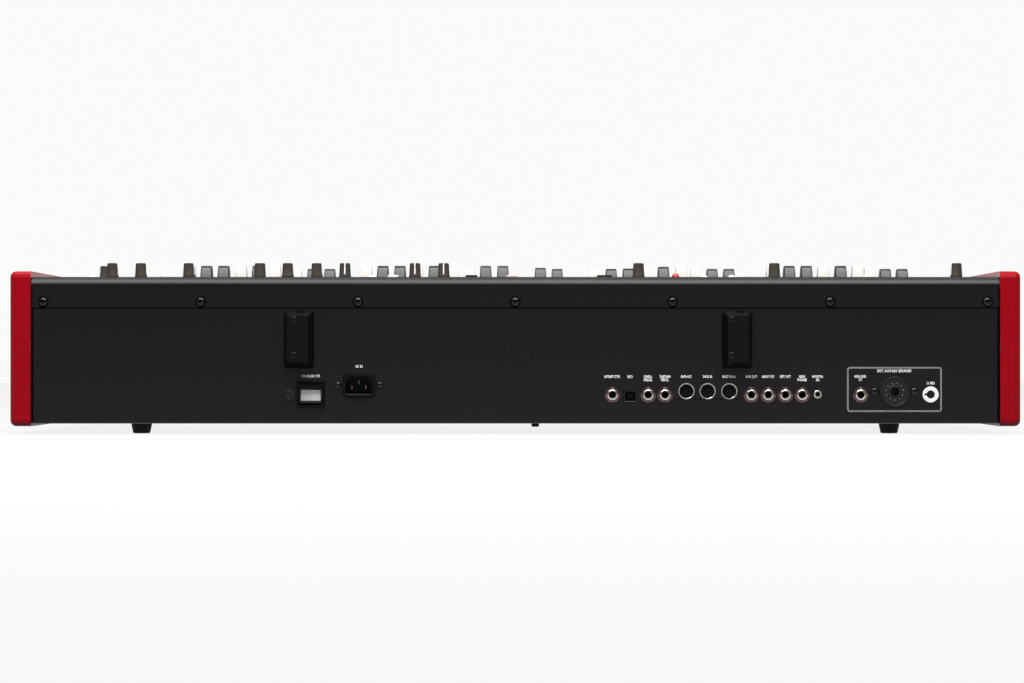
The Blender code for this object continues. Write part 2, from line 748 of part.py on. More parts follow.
def add_sharp(bm, centre, front, top, tail, lug_foot):
    """A sharp: a body level with the naturals, a raised block that narrows, and a lug down to its rail."""
    nose = depth_y(front - HEAD_LENGTH - SHARP_NOSE_GAP)
    back = nose + SHARP_LENGTH
    tail_y = depth_y(tail)
    half, narrow = SHARP_WIDTH / 2, SHARP_TOP_WIDTH / 2
    profile = [
        (tail_y, lug_foot, half),
        (tail_y - LUG_LENGTH, lug_foot, half),
        (tail_y - LUG_LENGTH, top - KEY_THICKNESS, half),
        (nose, top - KEY_THICKNESS, half),
        (nose, top, half),
        (nose + 0.0030, top + SHARP_HEIGHT - 0.0020, narrow),
        (nose + 0.0060, top + SHARP_HEIGHT, narrow),
        (back - 0.0005, top + SHARP_HEIGHT, narrow),
        (back, top, half),
        (tail_y, top, half),
    ]
    sides = []
    for side in (-1, 1):
        sides.append([bm.verts.new((centre + side * w, y, z)) for y, z, w in profile])
    for points in sides:
        # The raised block's flank leans inwards, so it is a face of its own.
        bm.faces.new([points[k] for k in (0, 1, 2, 3, 4, 8, 9)])
        bm.faces.new([points[k] for k in (4, 5, 7, 8)])
        bm.faces.new([points[k] for k in (5, 6, 7)])
    for a in range(len(profile)):
        b = (a + 1) % len(profile)
        bm.faces.new((sides[0][a], sides[0][b], sides[1][b], sides[1][a]))


def rail_places(front, top):
    """Depth, height and side of a manual's three hinge rails: at the tails, above and below them."""
    end = front - KEY_LENGTH
    side_depth = end + HINGE_RAIL + TAIL_GAP + SIDE_RAIL / 2
    above = top + RAIL_CLEARANCE + SIDE_RAIL / 2
    below = top - KEY_THICKNESS - RAIL_CLEARANCE - SIDE_RAIL / 2
    return {
        "naturals_a": (end + HINGE_RAIL / 2, top - KEY_THICKNESS / 2, HINGE_RAIL),
        "naturals_b": (side_depth, above, SIDE_RAIL),
        "sharps": (side_depth, below, SIDE_RAIL),
    }


COMB_LETTERS = {"naturals_a": "CEGB", "naturals_b": "DFA"}


def build_comb(manual, kind, front, top):
    """Keys moulded as one comb on a square hinge rail, with a round pin at each end of the rail."""
    depth, height, size = rail_places(front, top)[kind]
    short_tail = front - KEY_LENGTH + HINGE_RAIL + TAIL_GAP
    keys = bmesh.new()
    noses = []
    for i in range(NATURAL_COUNT):
        centre = sharp_centre(i)
        if kind == "sharps" and centre is not None:
            add_sharp(keys, centre, front, top, short_tail, height)
        elif kind == "naturals_a" and natural_letter(i) in COMB_LETTERS[kind]:
            noses.append(add_natural(keys, i, front, top, front - KEY_LENGTH, None))
        elif kind == "naturals_b" and natural_letter(i) in COMB_LETTERS[kind]:
            noses.append(add_natural(keys, i, front, top, short_tail, height))
    bmesh.ops.recalc_face_normals(keys, faces=keys.faces)
    if noses:
        bmesh.ops.bevel(keys, geom=noses, offset=WATERFALL_ROUNDING, segments=2, profile=0.5, affect="EDGES")
    white = material("white_key", (0.80, 0.79, 0.75), 0.2)
    black = material("black_key", (0.01, 0.01, 0.01), 0.25)
    finish = black if kind == "sharps" else white
    comb = make_object(f"{manual}_{kind}", keys, finish, (0.0, depth_y(depth), height))

    y, half = depth_y(depth), size / 2
    rail_half = KEYS_HALF - FIT_GAP
    rail = bmesh.new()
    add_box(rail, (-rail_half, rail_half), (y - half, y + half), (height - half, height + half))
    combine(comb, helper(f"{manual}_{kind}_rail", rail), "UNION")
    pins = bmesh.new()
    for side in (-1, 1):
        inner, outer = side * (rail_half - 0.001), side * (PLATE_HALF + 0.0001)
        run = [(inner, HINGE_PIN_RADIUS), (outer, HINGE_PIN_RADIUS)]
        add_turned(pins, "X", (y, height), run, 8)
    combine(comb, helper(f"{manual}_{kind}_pins", pins), "UNION")


def build_key_chassis(manual, front, top):
    """Folded chassis: stop rail under the keys, floor, rear wall, and end plates for the hinge pins."""
    end = front - KEY_LENGTH
    floor = top - CHASSIS_DEPTH
    stop_top = top - KEY_THICKNESS - KEY_DIP - STOP_FELT
    rear, stop = end - CHASSIS_REAR_ROOM, front - STOP_RAIL_INSET
    path = [
        (depth_y(stop), stop_top),
        (depth_y(stop), floor, 0.003),
        (depth_y(rear), floor, 0.003),
        (depth_y(rear), top + CHASSIS_REAR_RISE),
    ]
    bm = bmesh.new()
    add_prism(bm, folded_sheet(path), "X", -PLATE_HALF, PLATE_HALF)
    chassis = make_object(f"{manual}_key_chassis", bm, bare_steel())

    joined = bmesh.new()
    for side in (-1, 1):
        outline = fillet(
            [
                (depth_y(rear + SUNK), floor + SUNK),
                (depth_y(rear + SUNK), top + PLATE_RISE, 0.003),
                (depth_y(rear + PLATE_LENGTH), top + PLATE_RISE, 0.003),
                (depth_y(rear + PLATE_LENGTH), floor + SUNK),
            ]
        )
        add_prism(joined, outline, "X", side * KEYS_HALF, side * PLATE_HALF)
    if manual == "lower":
        for depth in (rear + LEG_INSETS[0], stop - LEG_INSETS[1]):
            leg = [
                (depth_y(depth), floor + SUNK),
                (depth_y(depth), PAN_TOP + FIT_GAP, 0.002),
                (depth_y(depth - LEG_FOOT), PAN_TOP + FIT_GAP),
            ]
            add_prism(joined, folded_sheet(leg), "X", -PLATE_HALF + 0.002, PLATE_HALF - 0.002)
    combine(chassis, helper(f"{manual}_chassis_plates", joined), "UNION")

    holes = bmesh.new()
    for depth, height, _ in rail_places(front, top).values():
        for side in (-1, 1):
            outline = ring((depth_y(depth), height), HINGE_PIN_RADIUS + 2 * FIT_GAP, 8)
            add_prism(holes, outline, "X", side * (KEYS_HALF - 0.002), side * (PLATE_HALF + 0.002))
    combine(chassis, helper(f"{manual}_chassis_holes", holes), "DIFFERENCE")


# Controls

FRAME_FLOOR = -0.0103
FRAME_REAR = 0.047
FRAME_FRONT = 0.1205
FOOT_UNDER = -SHEET - 0.0006
FOOT_LENGTH = 0.014
FOOT_WIDTH = 0.0052
FRAME_SHEET = 0.0012
FRAME_END_ROOM = 0.004
FOOT_BOTTOM = FRAME_FLOOR + FRAME_SHEET + FIT_GAP


def drawbar_levels(shift=0.0, foot=True):
    """Heights over the panel of a drawbar: guided foot, thin stem, and a cap that narrows upwards."""
    half, width = DRAWBAR_WIDTH / 2, STEM_WIDTH / 2
    cap = [
        (CAP_FLOAT, width, STEM_LENGTH / 2, shift),
        (CAP_FLOAT, half, CAP_LENGTH / 2, shift),
        (CAP_SHOULDER, half - CAP_SIDE_DRAFT, CAP_SHOULDER_LENGTH / 2, shift),
        (DRAWBAR_HEIGHT - CAP_EDGE, half - CAP_TOP_DRAFT, CAP_TOP_LENGTH / 2, shift),
        (DRAWBAR_HEIGHT, half - CAP_TOP_DRAFT - CAP_EDGE, CAP_TOP_LENGTH / 2 - CAP_EDGE, shift),
    ]
    if not foot:
        return [(FRAME_FLOOR + SUNK, width, STEM_LENGTH / 2, shift)] + cap
    return [
        (FOOT_BOTTOM, FOOT_WIDTH / 2, FOOT_LENGTH / 2, shift),
        (FOOT_UNDER, FOOT_WIDTH / 2, FOOT_LENGTH / 2, shift),
        (FOOT_UNDER, width, STEM_LENGTH / 2, shift),
    ] + cap


def build_drawbars():
    """Each moving drawbar at the place where it is pulled out to, and the frame that guides all of them."""
    middle = (FRAME_REAR + FRAME_FRONT) / 2
    places = drawbar_places()
    reach = DRAWBAR_WIDTH / 2 + FRAME_END_ROOM
    ends = (min(x for _, x, _ in places) - reach, max(x for _, x, _ in places) + reach)
    half = (FRAME_FRONT - FRAME_REAR) / 2
    top = -SHEET - FIT_GAP
    path = [(half, top), (half, FRAME_FLOOR, 0.0015), (-half, FRAME_FLOOR, 0.0015), (-half, top)]
    bm = bmesh.new()
    add_prism(bm, folded_sheet(path, -FRAME_SHEET), "X", *ends)
    frame = make_object("drawbar_frame", bm, bare_steel())
    on_panel(frame, 0.0, middle)

    brown = material("brown_drawbar", (0.055, 0.030, 0.020), 0.4)
    black = material("black_drawbar", (0.010, 0.010, 0.010), 0.35)
    white = material("white_drawbar", (0.80, 0.79, 0.75), 0.35)
    colours = (brown, brown, white, white, black, white, black, black, white)
    fixed = bmesh.new()
    for name, x, pull in places:
        if moves(name):
            bm = bmesh.new()
            add_tapered(bm, drawbar_levels())
            bar = make_object(name, bm, colours[int(name[-1]) - 1])
            on_panel(bar, x, DRAWBAR_IN + pull * math.cos(PANEL_SLOPE))
        else:
            bar = bmesh.new()
            add_tapered(bar, drawbar_levels(middle - DRAWBAR_IN - pull, foot=False))
            bmesh.ops.translate(bar, verts=bar.verts, vec=(x, 0.0, 0.0))
            mesh = bpy.data.meshes.new(name)
            bar.to_mesh(mesh)
            bar.free()
            fixed.from_mesh(mesh)
            bpy.data.meshes.remove(mesh)
    bars = helper("fixed_drawbars", fixed)
    on_panel(bars, 0.0, middle)
    combine(frame, bars, "UNION")


def build_knobs():
    """Tapered knobs, each in one piece with the shaft that goes down through the panel."""
    brown = material("knob_plastic", (0.030, 0.025, 0.020), 0.45)
    for i, (x, depth) in enumerate(KNOB_PLACES):
        profile = [
            (-SHAFT_REACH, SHAFT_RADIUS),
            (KNOB_FLOAT, SHAFT_RADIUS),
            (KNOB_FLOAT, KNOB_BASE_RADIUS),
            (KNOB_HEIGHT - KNOB_EDGE, KNOB_TOP_RADIUS),
            (KNOB_HEIGHT, KNOB_TOP_RADIUS - KNOB_EDGE),
        ]
        bm = bmesh.new()
        add_turned(bm, "Z", (0.0, 0.0), profile, 14)
        knob = make_object(f"knob_{i + 1:02d}", bm, brown, smooth=True)
        on_panel(knob, x, depth)


def build_buttons():
    """Buttons that move in their holes, each with rounded corners and a softened top."""
    white = material("translucent_button", (0.75, 0.74, 0.72), 0.35)
    for i, (x, depth) in enumerate(BUTTON_PLACES):
        bm = bmesh.new()
        rings = []
        edge = BUTTON_HEIGHT - BUTTON_EDGE
        for z, inset in ((-BUTTON_REACH, 0.0), (edge, 0.0), (BUTTON_HEIGHT, BUTTON_EDGE)):
            size = (BUTTON_WIDTH - 2 * inset, BUTTON_LENGTH - 2 * inset)
            rings.append([(u, v, z) for u, v in rectangle((0.0, 0.0), size, BUTTON_CORNER)])
        add_loft(bm, rings)
        button = make_object(f"button_{i + 1}", bm, white)
        on_panel(button, x, depth)


def build_panel_board():
    """Control board under the panel, with a potentiometer below each knob and a switch below each button."""
    top, middle = PANEL_BOARD_TOP, KNOB_ROW
    rear, front = middle - PANEL_BOARD_REAR, middle - PANEL_BOARD_FRONT
    second = middle - SECOND_ROW - PANEL_BOARD_REAR
    outline = [
        (-PANEL_BOARD_HALF, front),
        (PANEL_BOARD_STEP_X, front),
        (PANEL_BOARD_STEP_X, second),
        (PANEL_BOARD_HALF, second),
        (PANEL_BOARD_HALF, rear),
        (-PANEL_BOARD_HALF, rear),
    ]
    bm = bmesh.new()
    add_prism(bm, outline, "Z", top - BOARD_THICKNESS, top)
    board = make_object("panel_board", bm, board_green())
    on_panel(board, 0.0, middle)
    parts = bmesh.new()
    for x, depth in KNOB_PLACES:
        y = middle - depth
        half = POT_SIZE / 2
        add_box(parts, (x - half, x + half), (y - half, y + half), (top - SUNK, -SHAFT_REACH - FIT_GAP))
    for x, depth in BUTTON_PLACES:
        y = middle - depth
        half = KEY_SWITCH_SIZE / 2
        reach = -BUTTON_REACH - BUTTON_TRAVEL - FIT_GAP
        add_box(parts, (x - half, x + half), (y - half, y + half), (top - SUNK, reach))
    joined = helper("panel_board_parts", parts)
    on_panel(joined, 0.0, middle)
    combine(board, joined, "UNION")


# Inside the case


def build_power_supply():
    bm = bmesh.new()
    rear, front = (depth_y(depth) for depth in SUPPLY_DEPTHS)
    add_box(bm, SUPPLY_X, (front, rear), (PAN_TOP + FIT_GAP, PAN_TOP + SUPPLY_HEIGHT))
    bmesh.ops.bevel(bm, geom=list(bm.edges), offset=SUPPLY_EDGE, segments=1, affect="EDGES")
    make_object("power_supply", bm, bare_steel())


def build_main_board():
    """Main board on six standoffs, with its larger parts."""
    x, y = MAIN_BOARD_X, sorted(depth_y(depth) for depth in MAIN_BOARD_DEPTHS)
    board_z = PAN_TOP + MAIN_BOARD_RISE
    bm = bmesh.new()
    add_box(bm, x, y, (board_z, board_z + BOARD_THICKNESS))
    board = make_object("main_board", bm, board_green())
    parts = bmesh.new()
    run = [(PAN_TOP + FIT_GAP, STANDOFF_RADIUS), (board_z + SUNK, STANDOFF_RADIUS)]
    for u in (x[0] + STANDOFF_INSET, sum(x) / 2, x[1] - STANDOFF_INSET):
        for v in (y[0] + STANDOFF_INSET, y[1] - STANDOFF_INSET):
            add_turned(parts, "Z", (u, v), run, 6)
    for u, depth, size, height in MAIN_CHIPS:
        v = depth_y(depth)
        span = (board_z + BOARD_THICKNESS - SUNK, board_z + BOARD_THICKNESS + height)
        add_box(parts, (u - size / 2, u + size / 2), (v - size / 2, v + size / 2), span)
    combine(board, helper("main_board_parts", parts), "UNION")


def build_connector_board():
    """Board that carries the jacks, the five-pole sockets and the data sockets, with their bores."""
    floor = JACK_HEIGHT - CONNECTOR_BOARD_DROP
    rear, front = CONNECTOR_BOARD_DEPTHS
    x_ends = (min(JACK_PLACES) - CONNECTOR_BOARD_ENDS, max(JACK_PLACES) + CONNECTOR_BOARD_ENDS)
    bm = bmesh.new()
    add_box(bm, x_ends, (depth_y(front), depth_y(rear)), (floor, floor + BOARD_THICKNESS))
    board = make_object("connector_board", bm, board_green())

    parts = bmesh.new()
    inside = depth_y(rear - CONNECTOR_BODY_PROUD)
    seat = floor + BOARD_THICKNESS - SUNK
    bodies = [(x, *JACK_BODY, JACK_HEIGHT + JACK_BODY_RISE) for x in JACK_PLACES]
    bodies += [(x, *DIN_BODY, DIN_HEIGHT + DIN_BODY_RISE) for x in DIN_PLACES]
    for (u, v), wide in ((MINI_PLACE, MINI_BODY_WIDTH), (USB_PLACE, USB_SIZE[0])):
        bodies.append((u, wide, DIN_BODY[1], v + wide / 2 - CONNECTOR_BODY_PROUD))
    for u, wide, depth, top in bodies:
        add_box(parts, (u - wide / 2, u + wide / 2), (depth_y(depth), inside), (seat, top))
    for u in (x_ends[0] + STANDOFF_INSET, CONNECTOR_STANDOFF_X, x_ends[1] - STANDOFF_INSET):
        run = [(PAN_TOP + FIT_GAP, STANDOFF_RADIUS), (floor + SUNK, STANDOFF_RADIUS)]
        add_turned(parts, "Z", (u, depth_y(front - STANDOFF_INSET)), run, 6)
    combine(board, helper("connector_bodies", parts), "UNION")

    collars = bmesh.new()
    root = depth_y(rear + SHEET)
    for x in JACK_PLACES:
        collar = [(root, JACK_BARREL), (depth_y(-JACK_PROUD), JACK_BARREL)]
        add_turned(collars, "Y", (x, JACK_HEIGHT), collar, 10)
    for x in DIN_PLACES:
        add_turned(collars, "Y", (x, DIN_HEIGHT), [(root, DIN_RADIUS), (depth_y(-DIN_PROUD), DIN_RADIUS)], 12)
    add_turned(collars, "Y", MINI_PLACE, [(root, MINI_RADIUS), (depth_y(-MINI_PROUD), MINI_RADIUS)], 8)
    add_prism(collars, rectangle(USB_PLACE, USB_SIZE), "Y", root, depth_y(-CONNECTOR_BODY_PROUD))
    combine(board, helper("connector_collars", collars), "UNION")

    bores = bmesh.new()
    mouth = depth_y(-CUT_PAST)
    for x in JACK_PLACES:
        run = [(depth_y(JACK_BORE_DEPTH), JACK_BORE), (mouth, JACK_BORE)]
        add_turned(bores, "Y", (x, JACK_HEIGHT), run, 10)
    for x in DIN_PLACES:
        wall = DIN_RADIUS - DIN_WALL
        add_turned(bores, "Y", (x, DIN_HEIGHT), [(depth_y(DIN_BORE_DEPTH), wall), (mouth, wall)], 12)
    add_turned(bores, "Y", MINI_PLACE, [(depth_y(MINI_BORE_DEPTH), MINI_BORE), (mouth, MINI_BORE)], 8)
    cavity = [size - walls for size, walls in zip(USB_SIZE, USB_WALLS)]
    add_prism(bores, rectangle(USB_PLACE, cavity), "Y", depth_y(USB_CAVITY_DEPTH), mouth)
    combine(board, helper("connector_bores", bores), "DIFFERENCE")


def build_rotary_socket():
    """Eleven-pole socket: a turned front, a hub bore, and a fixing plate inside the panel."""
    u, v = ROTARY_PLACE
    bm = bmesh.new()
    profile = [
        (depth_y(ROTARY_DEPTHS[0]), ROTARY_RADIUS - ROTARY_STEP),
        (depth_y(ROTARY_DEPTHS[1]), ROTARY_RADIUS - ROTARY_STEP),
        (depth_y(ROTARY_DEPTHS[1]), ROTARY_RADIUS),
        (depth_y(ROTARY_EDGE - ROTARY_PROUD), ROTARY_RADIUS),
        (depth_y(-ROTARY_PROUD), ROTARY_RADIUS - ROTARY_EDGE),
    ]
    add_turned(bm, "Y", (u, v), profile, 20)
    socket = make_object("rotary_socket", bm, black_plastic(), (u, REAR_Y, v))
    plate = bmesh.new()
    outline = rectangle((u, v), ROTARY_PLATE, 0.004)
    add_prism(plate, outline, "Y", *(depth_y(depth) for depth in ROTARY_PLATE_DEPTHS))
    combine(socket, helper("rotary_socket_plate", plate), "UNION")
    bore = bmesh.new()
    run = [(depth_y(ROTARY_HUB_DEPTH), ROTARY_HUB), (depth_y(-CUT_PAST), ROTARY_HUB)]
    add_turned(bore, "Y", (u, v), run, 16)
    combine(socket, helper("rotary_socket_bore", bore), "DIFFERENCE")


def build_power_inlet():
    """Mains inlet: shroud through the panel, flange inside it, cavity with two cut corners, three pins."""
    u, v = INLET_PLACE
    bm = bmesh.new()
    shroud = rectangle((u, v), INLET_SIZE, INLET_CORNER)
    add_prism(bm, shroud, "Y", depth_y(INLET_DEPTH), depth_y(-INLET_PROUD))
    inlet = make_object("power_inlet", bm, black_plastic(), (u, REAR_Y, v))
    flange = bmesh.new()
    outline = rectangle((u, v), INLET_FLANGE, 0.006)
    add_prism(flange, outline, "Y", depth_y(INLET_FLANGE_DEPTH), depth_y(SHEET + FIT_GAP))
    combine(inlet, helper("power_inlet_flange", flange), "UNION")
    a, b = INLET_CAVITY[0] / 2, INLET_CAVITY[1] / 2
    cut = INLET_CAVITY_CUT
    shape = [(u - a, v - b), (u + a, v - b), (u + a, v + b - cut), (u + a - cut, v + b), (u - a + cut, v + b)]
    shape.append((u - a, v + b - cut))
    cavity = bmesh.new()
    add_prism(cavity, shape, "Y", depth_y(INLET_CAVITY_DEPTH), depth_y(-CUT_PAST))
    combine(inlet, helper("power_inlet_cavity", cavity), "DIFFERENCE")
    pins = bmesh.new()
    for x, z in INLET_PINS:
        outline = rectangle((u + x, v + z), INLET_PIN_SIZE)
        add_prism(pins, outline, "Y", *(depth_y(depth) for depth in INLET_PIN_DEPTHS))
    combine(inlet, helper("power_inlet_pins", pins), "UNION")


def build_power_switch():
    """Bezel with a window, and the rocker that tilts in it about a level axis."""
    u, v = SWITCH_PLACE
    bm = bmesh.new()
    add_prism(bm, rectangle((u, v), SWITCH_SIZE, 0.0012), "Y", depth_y(-FIT_GAP), depth_y(-SWITCH_PROUD))
    bezel = make_object("power_switch_bezel", bm, black_plastic(), (u, REAR_Y, v))
    body = bmesh.new()
    size = [outer - inset for outer, inset in zip(SWITCH_SIZE, SWITCH_BODY_INSET)]
    add_prism(body, rectangle((u, v), size), "Y", depth_y(SWITCH_BODY_DEPTH), depth_y(-FIT_GAP - SUNK))
    combine(bezel, helper("power_switch_body", body), "UNION")
    window = bmesh.new()
    opening = (ROCKER_SIZE[0] + 2 * FIT_GAP, ROCKER_SIZE[1] + 2 * FIT_GAP)
    add_prism(window, rectangle((u, v), opening), "Y", depth_y(SWITCH_WINDOW_DEPTH), depth_y(-CUT_PAST))
    combine(bezel, helper("power_switch_window", window), "DIFFERENCE")

    half, side = ROCKER_SIZE[1] / 2 - ROCKER_END_ROOM, ROCKER_SIZE[0] / 2
    rim, heel = ROCKER_FACE + 0.0004, ROCKER_HEEL[0] / 2
    side_view = [
        (rim, half - 0.0003),
        (rim - ROCKER_DISH, 0.0),
        (rim, -half + 0.0003),
        (ROCKER_FACE - ROCKER_SIDE, -half),
        (-ROCKER_HEEL[1], -heel),
        (-ROCKER_HEEL[1], heel),
        (ROCKER_FACE - ROCKER_SIDE, half),
    ]
    rocker = bmesh.new()
    outline = [(depth_y(ROCKER_AXIS_DEPTH) + y, v + z) for y, z in side_view]
    add_prism(rocker, outline, "X", u - side, u + side)
    grey = material("grey_rocker", (0.30, 0.30, 0.30), 0.4)
    tilted = make_object("power_rocker", rocker, grey, (u, depth_y(ROCKER_AXIS_DEPTH), v))
    tilted.rotation_euler = (math.radians(ROCKER_TILT), 0.0, 0.0)


def build_fuse_holder():
    """Fuse holder: a neck through the panel and a round cap with a slanted screwdriver slot."""
    u, v = FUSE_PLACE
    bm = bmesh.new()
    profile = [
        (depth_y(FUSE_DEPTH), FUSE_NECK),
        (depth_y(-FIT_GAP), FUSE_NECK),
        (depth_y(-FIT_GAP), FUSE_RADIUS),
        (depth_y(FUSE_EDGE - FUSE_PROUD), FUSE_RADIUS),
        (depth_y(-FUSE_PROUD), FUSE_RADIUS - FUSE_EDGE),
    ]
    add_turned(bm, "Y", (u, v), profile, 14)
    fuse = make_object("fuse_holder", bm, black_plastic(), (u, REAR_Y, v))
    slot = bmesh.new()
    bmesh.ops.create_cube(slot, size=1.0)
    bmesh.ops.scale(slot, verts=slot.verts, vec=FUSE_SLOT)
    cutter = helper("fuse_slot", slot)
    cutter.location = (u, depth_y(-FUSE_PROUD), v)
    cutter.rotation_euler = (0.0, math.radians(-45), 0.0)
    combine(fuse, cutter, "DIFFERENCE")


def build_stand_bracket(name, x):
    """Moulded bracket for a music stand: tapered on all four sides, with a blind bore from its upper face."""
    z = BRACKET_HEIGHT
    a, b = BRACKET_BASE[0] / 2, BRACKET_BASE[1] / 2
    c, d = BRACKET_FACE[0] / 2, BRACKET_FACE[1] / 2
    lean = BRACKET_LEAN
    rings = []
    levels = (
        (depth_y(-FIT_GAP), a, b),
        (depth_y(-BRACKET_SKIRT), a - lean, b - lean),
        (depth_y(BRACKET_EDGE - BRACKET_DEPTH), c + lean, d + lean),
        (depth_y(-BRACKET_DEPTH), c, d),
    )
    for (y, half_x, half_z), corner in zip(levels, BRACKET_CORNERS):
        outline = rectangle((x, z), (2 * half_x, 2 * half_z), corner)
        rings.append([(u, y, v) for u, v in outline])
    bm = bmesh.new()
    add_loft(bm, rings)
    bracket = make_object(name, bm, black_plastic(), (x, REAR_Y, z))
    bore = bmesh.new()
    centre = (x + BRACKET_BORE_SHIFT, depth_y(-BRACKET_BORE_OUT))
    run = [(z - d + BRACKET_BORE_FLOOR, BRACKET_BORE), (z + b + CUT_PAST, BRACKET_BORE)]
    add_turned(bore, "Z", centre, run, 16)
    combine(bracket, helper(name + "_bore", bore), "DIFFERENCE")


def build_feet():
    """Tapered rubber feet under the pan."""
    rubber = material("black_rubber", (0.010, 0.010, 0.010), 0.8)
    top = FLOOR_CLEARANCE - FIT_GAP
    feet = {"middle_foot": (*MIDDLE_FOOT, MIDDLE_FOOT_RADIUS, MIDDLE_FOOT_RADIUS * 0.9)}
    for label, (x, depth) in {"rear": REAR_FEET, "front": FRONT_FEET}.items():
        feet[f"{label}_foot_right"] = (x, depth, FOOT_TOP_RADIUS, FOOT_RADIUS)
        feet[f"{label}_foot_left"] = (-x, depth, FOOT_TOP_RADIUS, FOOT_RADIUS)
    for name, (x, depth, upper, lower) in feet.items():
        profile = [(0.0, lower - FOOT_EDGE), (FOOT_EDGE, lower), (top, upper)]
        bm = bmesh.new()
        add_turned(bm, "Z", (x, depth_y(depth)), profile, 14)
        make_object(name, bm, rubber, (x, depth_y(depth), top), smooth=True)


def build_organ():
    clear_scene()
    build_cheek("right_cheek", 1)
    build_cheek("left_cheek", -1)
    build_top_cover()
    build_rear_panel()
    build_bottom_pan()
    build_front_rail()
    build_manual_divider()
    for manual, front, top in (("lower", LOWER_FRONT, LOWER_TOP), ("upper", UPPER_FRONT, UPPER_TOP)):
        build_key_chassis(manual, front, top)
        for kind in ("naturals_a", "naturals_b", "sharps"):
            build_comb(manual, kind, front, top)
    build_drawbars()
    build_knobs()
    build_buttons()
    build_panel_board()
    build_power_supply()
    build_main_board()
    build_connector_board()
    build_rotary_socket()
    build_power_inlet()
    build_power_switch()
    build_fuse_holder()
    for name, x in BRACKET_PLACES.items():
        build_stand_bracket(name, x)
    build_feet()


build_organ()
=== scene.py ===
import math

import bmesh
import bpy
import numpy as np
from mathutils import Matrix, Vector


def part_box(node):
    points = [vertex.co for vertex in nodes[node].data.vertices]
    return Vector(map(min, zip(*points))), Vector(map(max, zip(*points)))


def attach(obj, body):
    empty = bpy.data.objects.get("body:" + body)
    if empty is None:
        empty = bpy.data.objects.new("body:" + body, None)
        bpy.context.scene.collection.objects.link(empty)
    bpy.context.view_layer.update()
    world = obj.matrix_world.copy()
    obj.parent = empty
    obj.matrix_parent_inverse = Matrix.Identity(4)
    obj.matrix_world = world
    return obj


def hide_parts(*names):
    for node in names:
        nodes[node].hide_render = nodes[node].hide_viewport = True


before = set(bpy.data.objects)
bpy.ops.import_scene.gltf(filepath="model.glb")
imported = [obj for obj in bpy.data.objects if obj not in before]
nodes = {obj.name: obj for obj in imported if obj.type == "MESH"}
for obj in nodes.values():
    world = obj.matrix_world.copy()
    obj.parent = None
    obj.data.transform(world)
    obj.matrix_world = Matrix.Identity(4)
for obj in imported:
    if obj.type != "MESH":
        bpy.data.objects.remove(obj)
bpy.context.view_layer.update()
print("frame loaded:", len(nodes), "nodes")

# The rear panel's outer face, and the control panel's slope down towards the player
panel = {
    "rearFace": 0.1775,
    "slope": math.radians(1.6),
    "slopeFrom": 0.009,
    "coverTop": 0.152,
}


# Materials

def toLinear(hexColour):
    # sRGB hex to linear: the two-part curve of the standard
    parts = [int(hexColour[i:i + 2], 16) / 255 for i in (1, 3, 5)]
    return tuple(c / 12.92 if c <= 0.04045 else ((c + 0.055) / 1.055) ** 2.4 for c in parts) + (1.0,)


def addNode(tree, kind, settings=None, values=None, links=None):
    # One node with its settings, its socket values and what is linked into it
    node = tree.nodes.new(kind)
    for name, value in (settings or {}).items():
        setattr(node, name, value)
    for name, value in (values or {}).items():
        node.inputs[name].default_value = value
    for name, source in (links or {}).items():
        tree.links.new(source, node.inputs[name])
    return node


def perMetre(millimetres):
    # Noise scale that puts one blob of that size on the object
    return 1000.0 / millimetres


def makeMaterial(name, look):
    # Shader with two close colours mixed by a noise, its roughness varied by it, and a bump of its own grain
    made = bpy.data.materials.new(name)
    made.use_nodes = True
    tree = made.node_tree
    tree.nodes.clear()
    place = addNode(tree, "ShaderNodeTexCoord")
    stretch = look.get("stretch", (1, 1, 1))
    mapping = addNode(tree, "ShaderNodeMapping", values={"Scale": stretch},
                      links={"Vector": place.outputs["Object"]})
    patch = addNode(
        tree, "ShaderNodeTexNoise",
        values={"Scale": perMetre(look["patch"]), "Detail": 4.0, "Roughness": 0.6},
        links={"Vector": mapping.outputs["Vector"]},
    )
    colour = addNode(
        tree, "ShaderNodeMix", {"data_type": "RGBA"},
        {"A": toLinear(look["colour"]), "B": toLinear(look["other"])},
        {"Factor": patch.outputs["Fac"]},
    )
    roughness = addNode(
        tree, "ShaderNodeMapRange",
        values={"To Min": look["roughness"][0], "To Max": look["roughness"][1]},
        links={"Value": patch.outputs["Fac"]},
    )
    grain = addNode(
        tree, "ShaderNodeTexNoise",
        values={"Scale": perMetre(look["grain"]), "Detail": 3.0, "Roughness": 0.55},
        links={"Vector": mapping.outputs["Vector"]},
    )
    bump = addNode(
        tree, "ShaderNodeBump",
        values={"Strength": look["bump"], "Distance": look["grain"] / 4000.0},  # a quarter of the grain
        links={"Height": grain.outputs["Fac"]},
    )
    shader = addNode(
        tree, "ShaderNodeBsdfPrincipled",
        values={
            "Metallic": look.get("metallic", 0.0),
            "IOR": look.get("ior", 1.5),
            "Specular IOR Level": look.get("specular", 0.5),
            "Coat Weight": look.get("coat", 0.0),
            "Coat Roughness": look.get("coatRoughness", 0.05),
            "Subsurface Weight": look.get("subsurface", 0.0),
            "Subsurface Radius": (0.004, 0.003, 0.002),
            "Subsurface Scale": 1.0,
            "Emission Strength": look.get("glow", 0.0),
            "Emission Color": toLinear(look.get("glowColour", look["colour"])),
        },
        links={
            "Base Color": colour.outputs[2],
            "Roughness": roughness.outputs["Result"],
            "Normal": bump.outputs["Normal"],
        },
    )
    addNode(tree, "ShaderNodeOutputMaterial", links={"Surface": shader.outputs["BSDF"]})
    return made


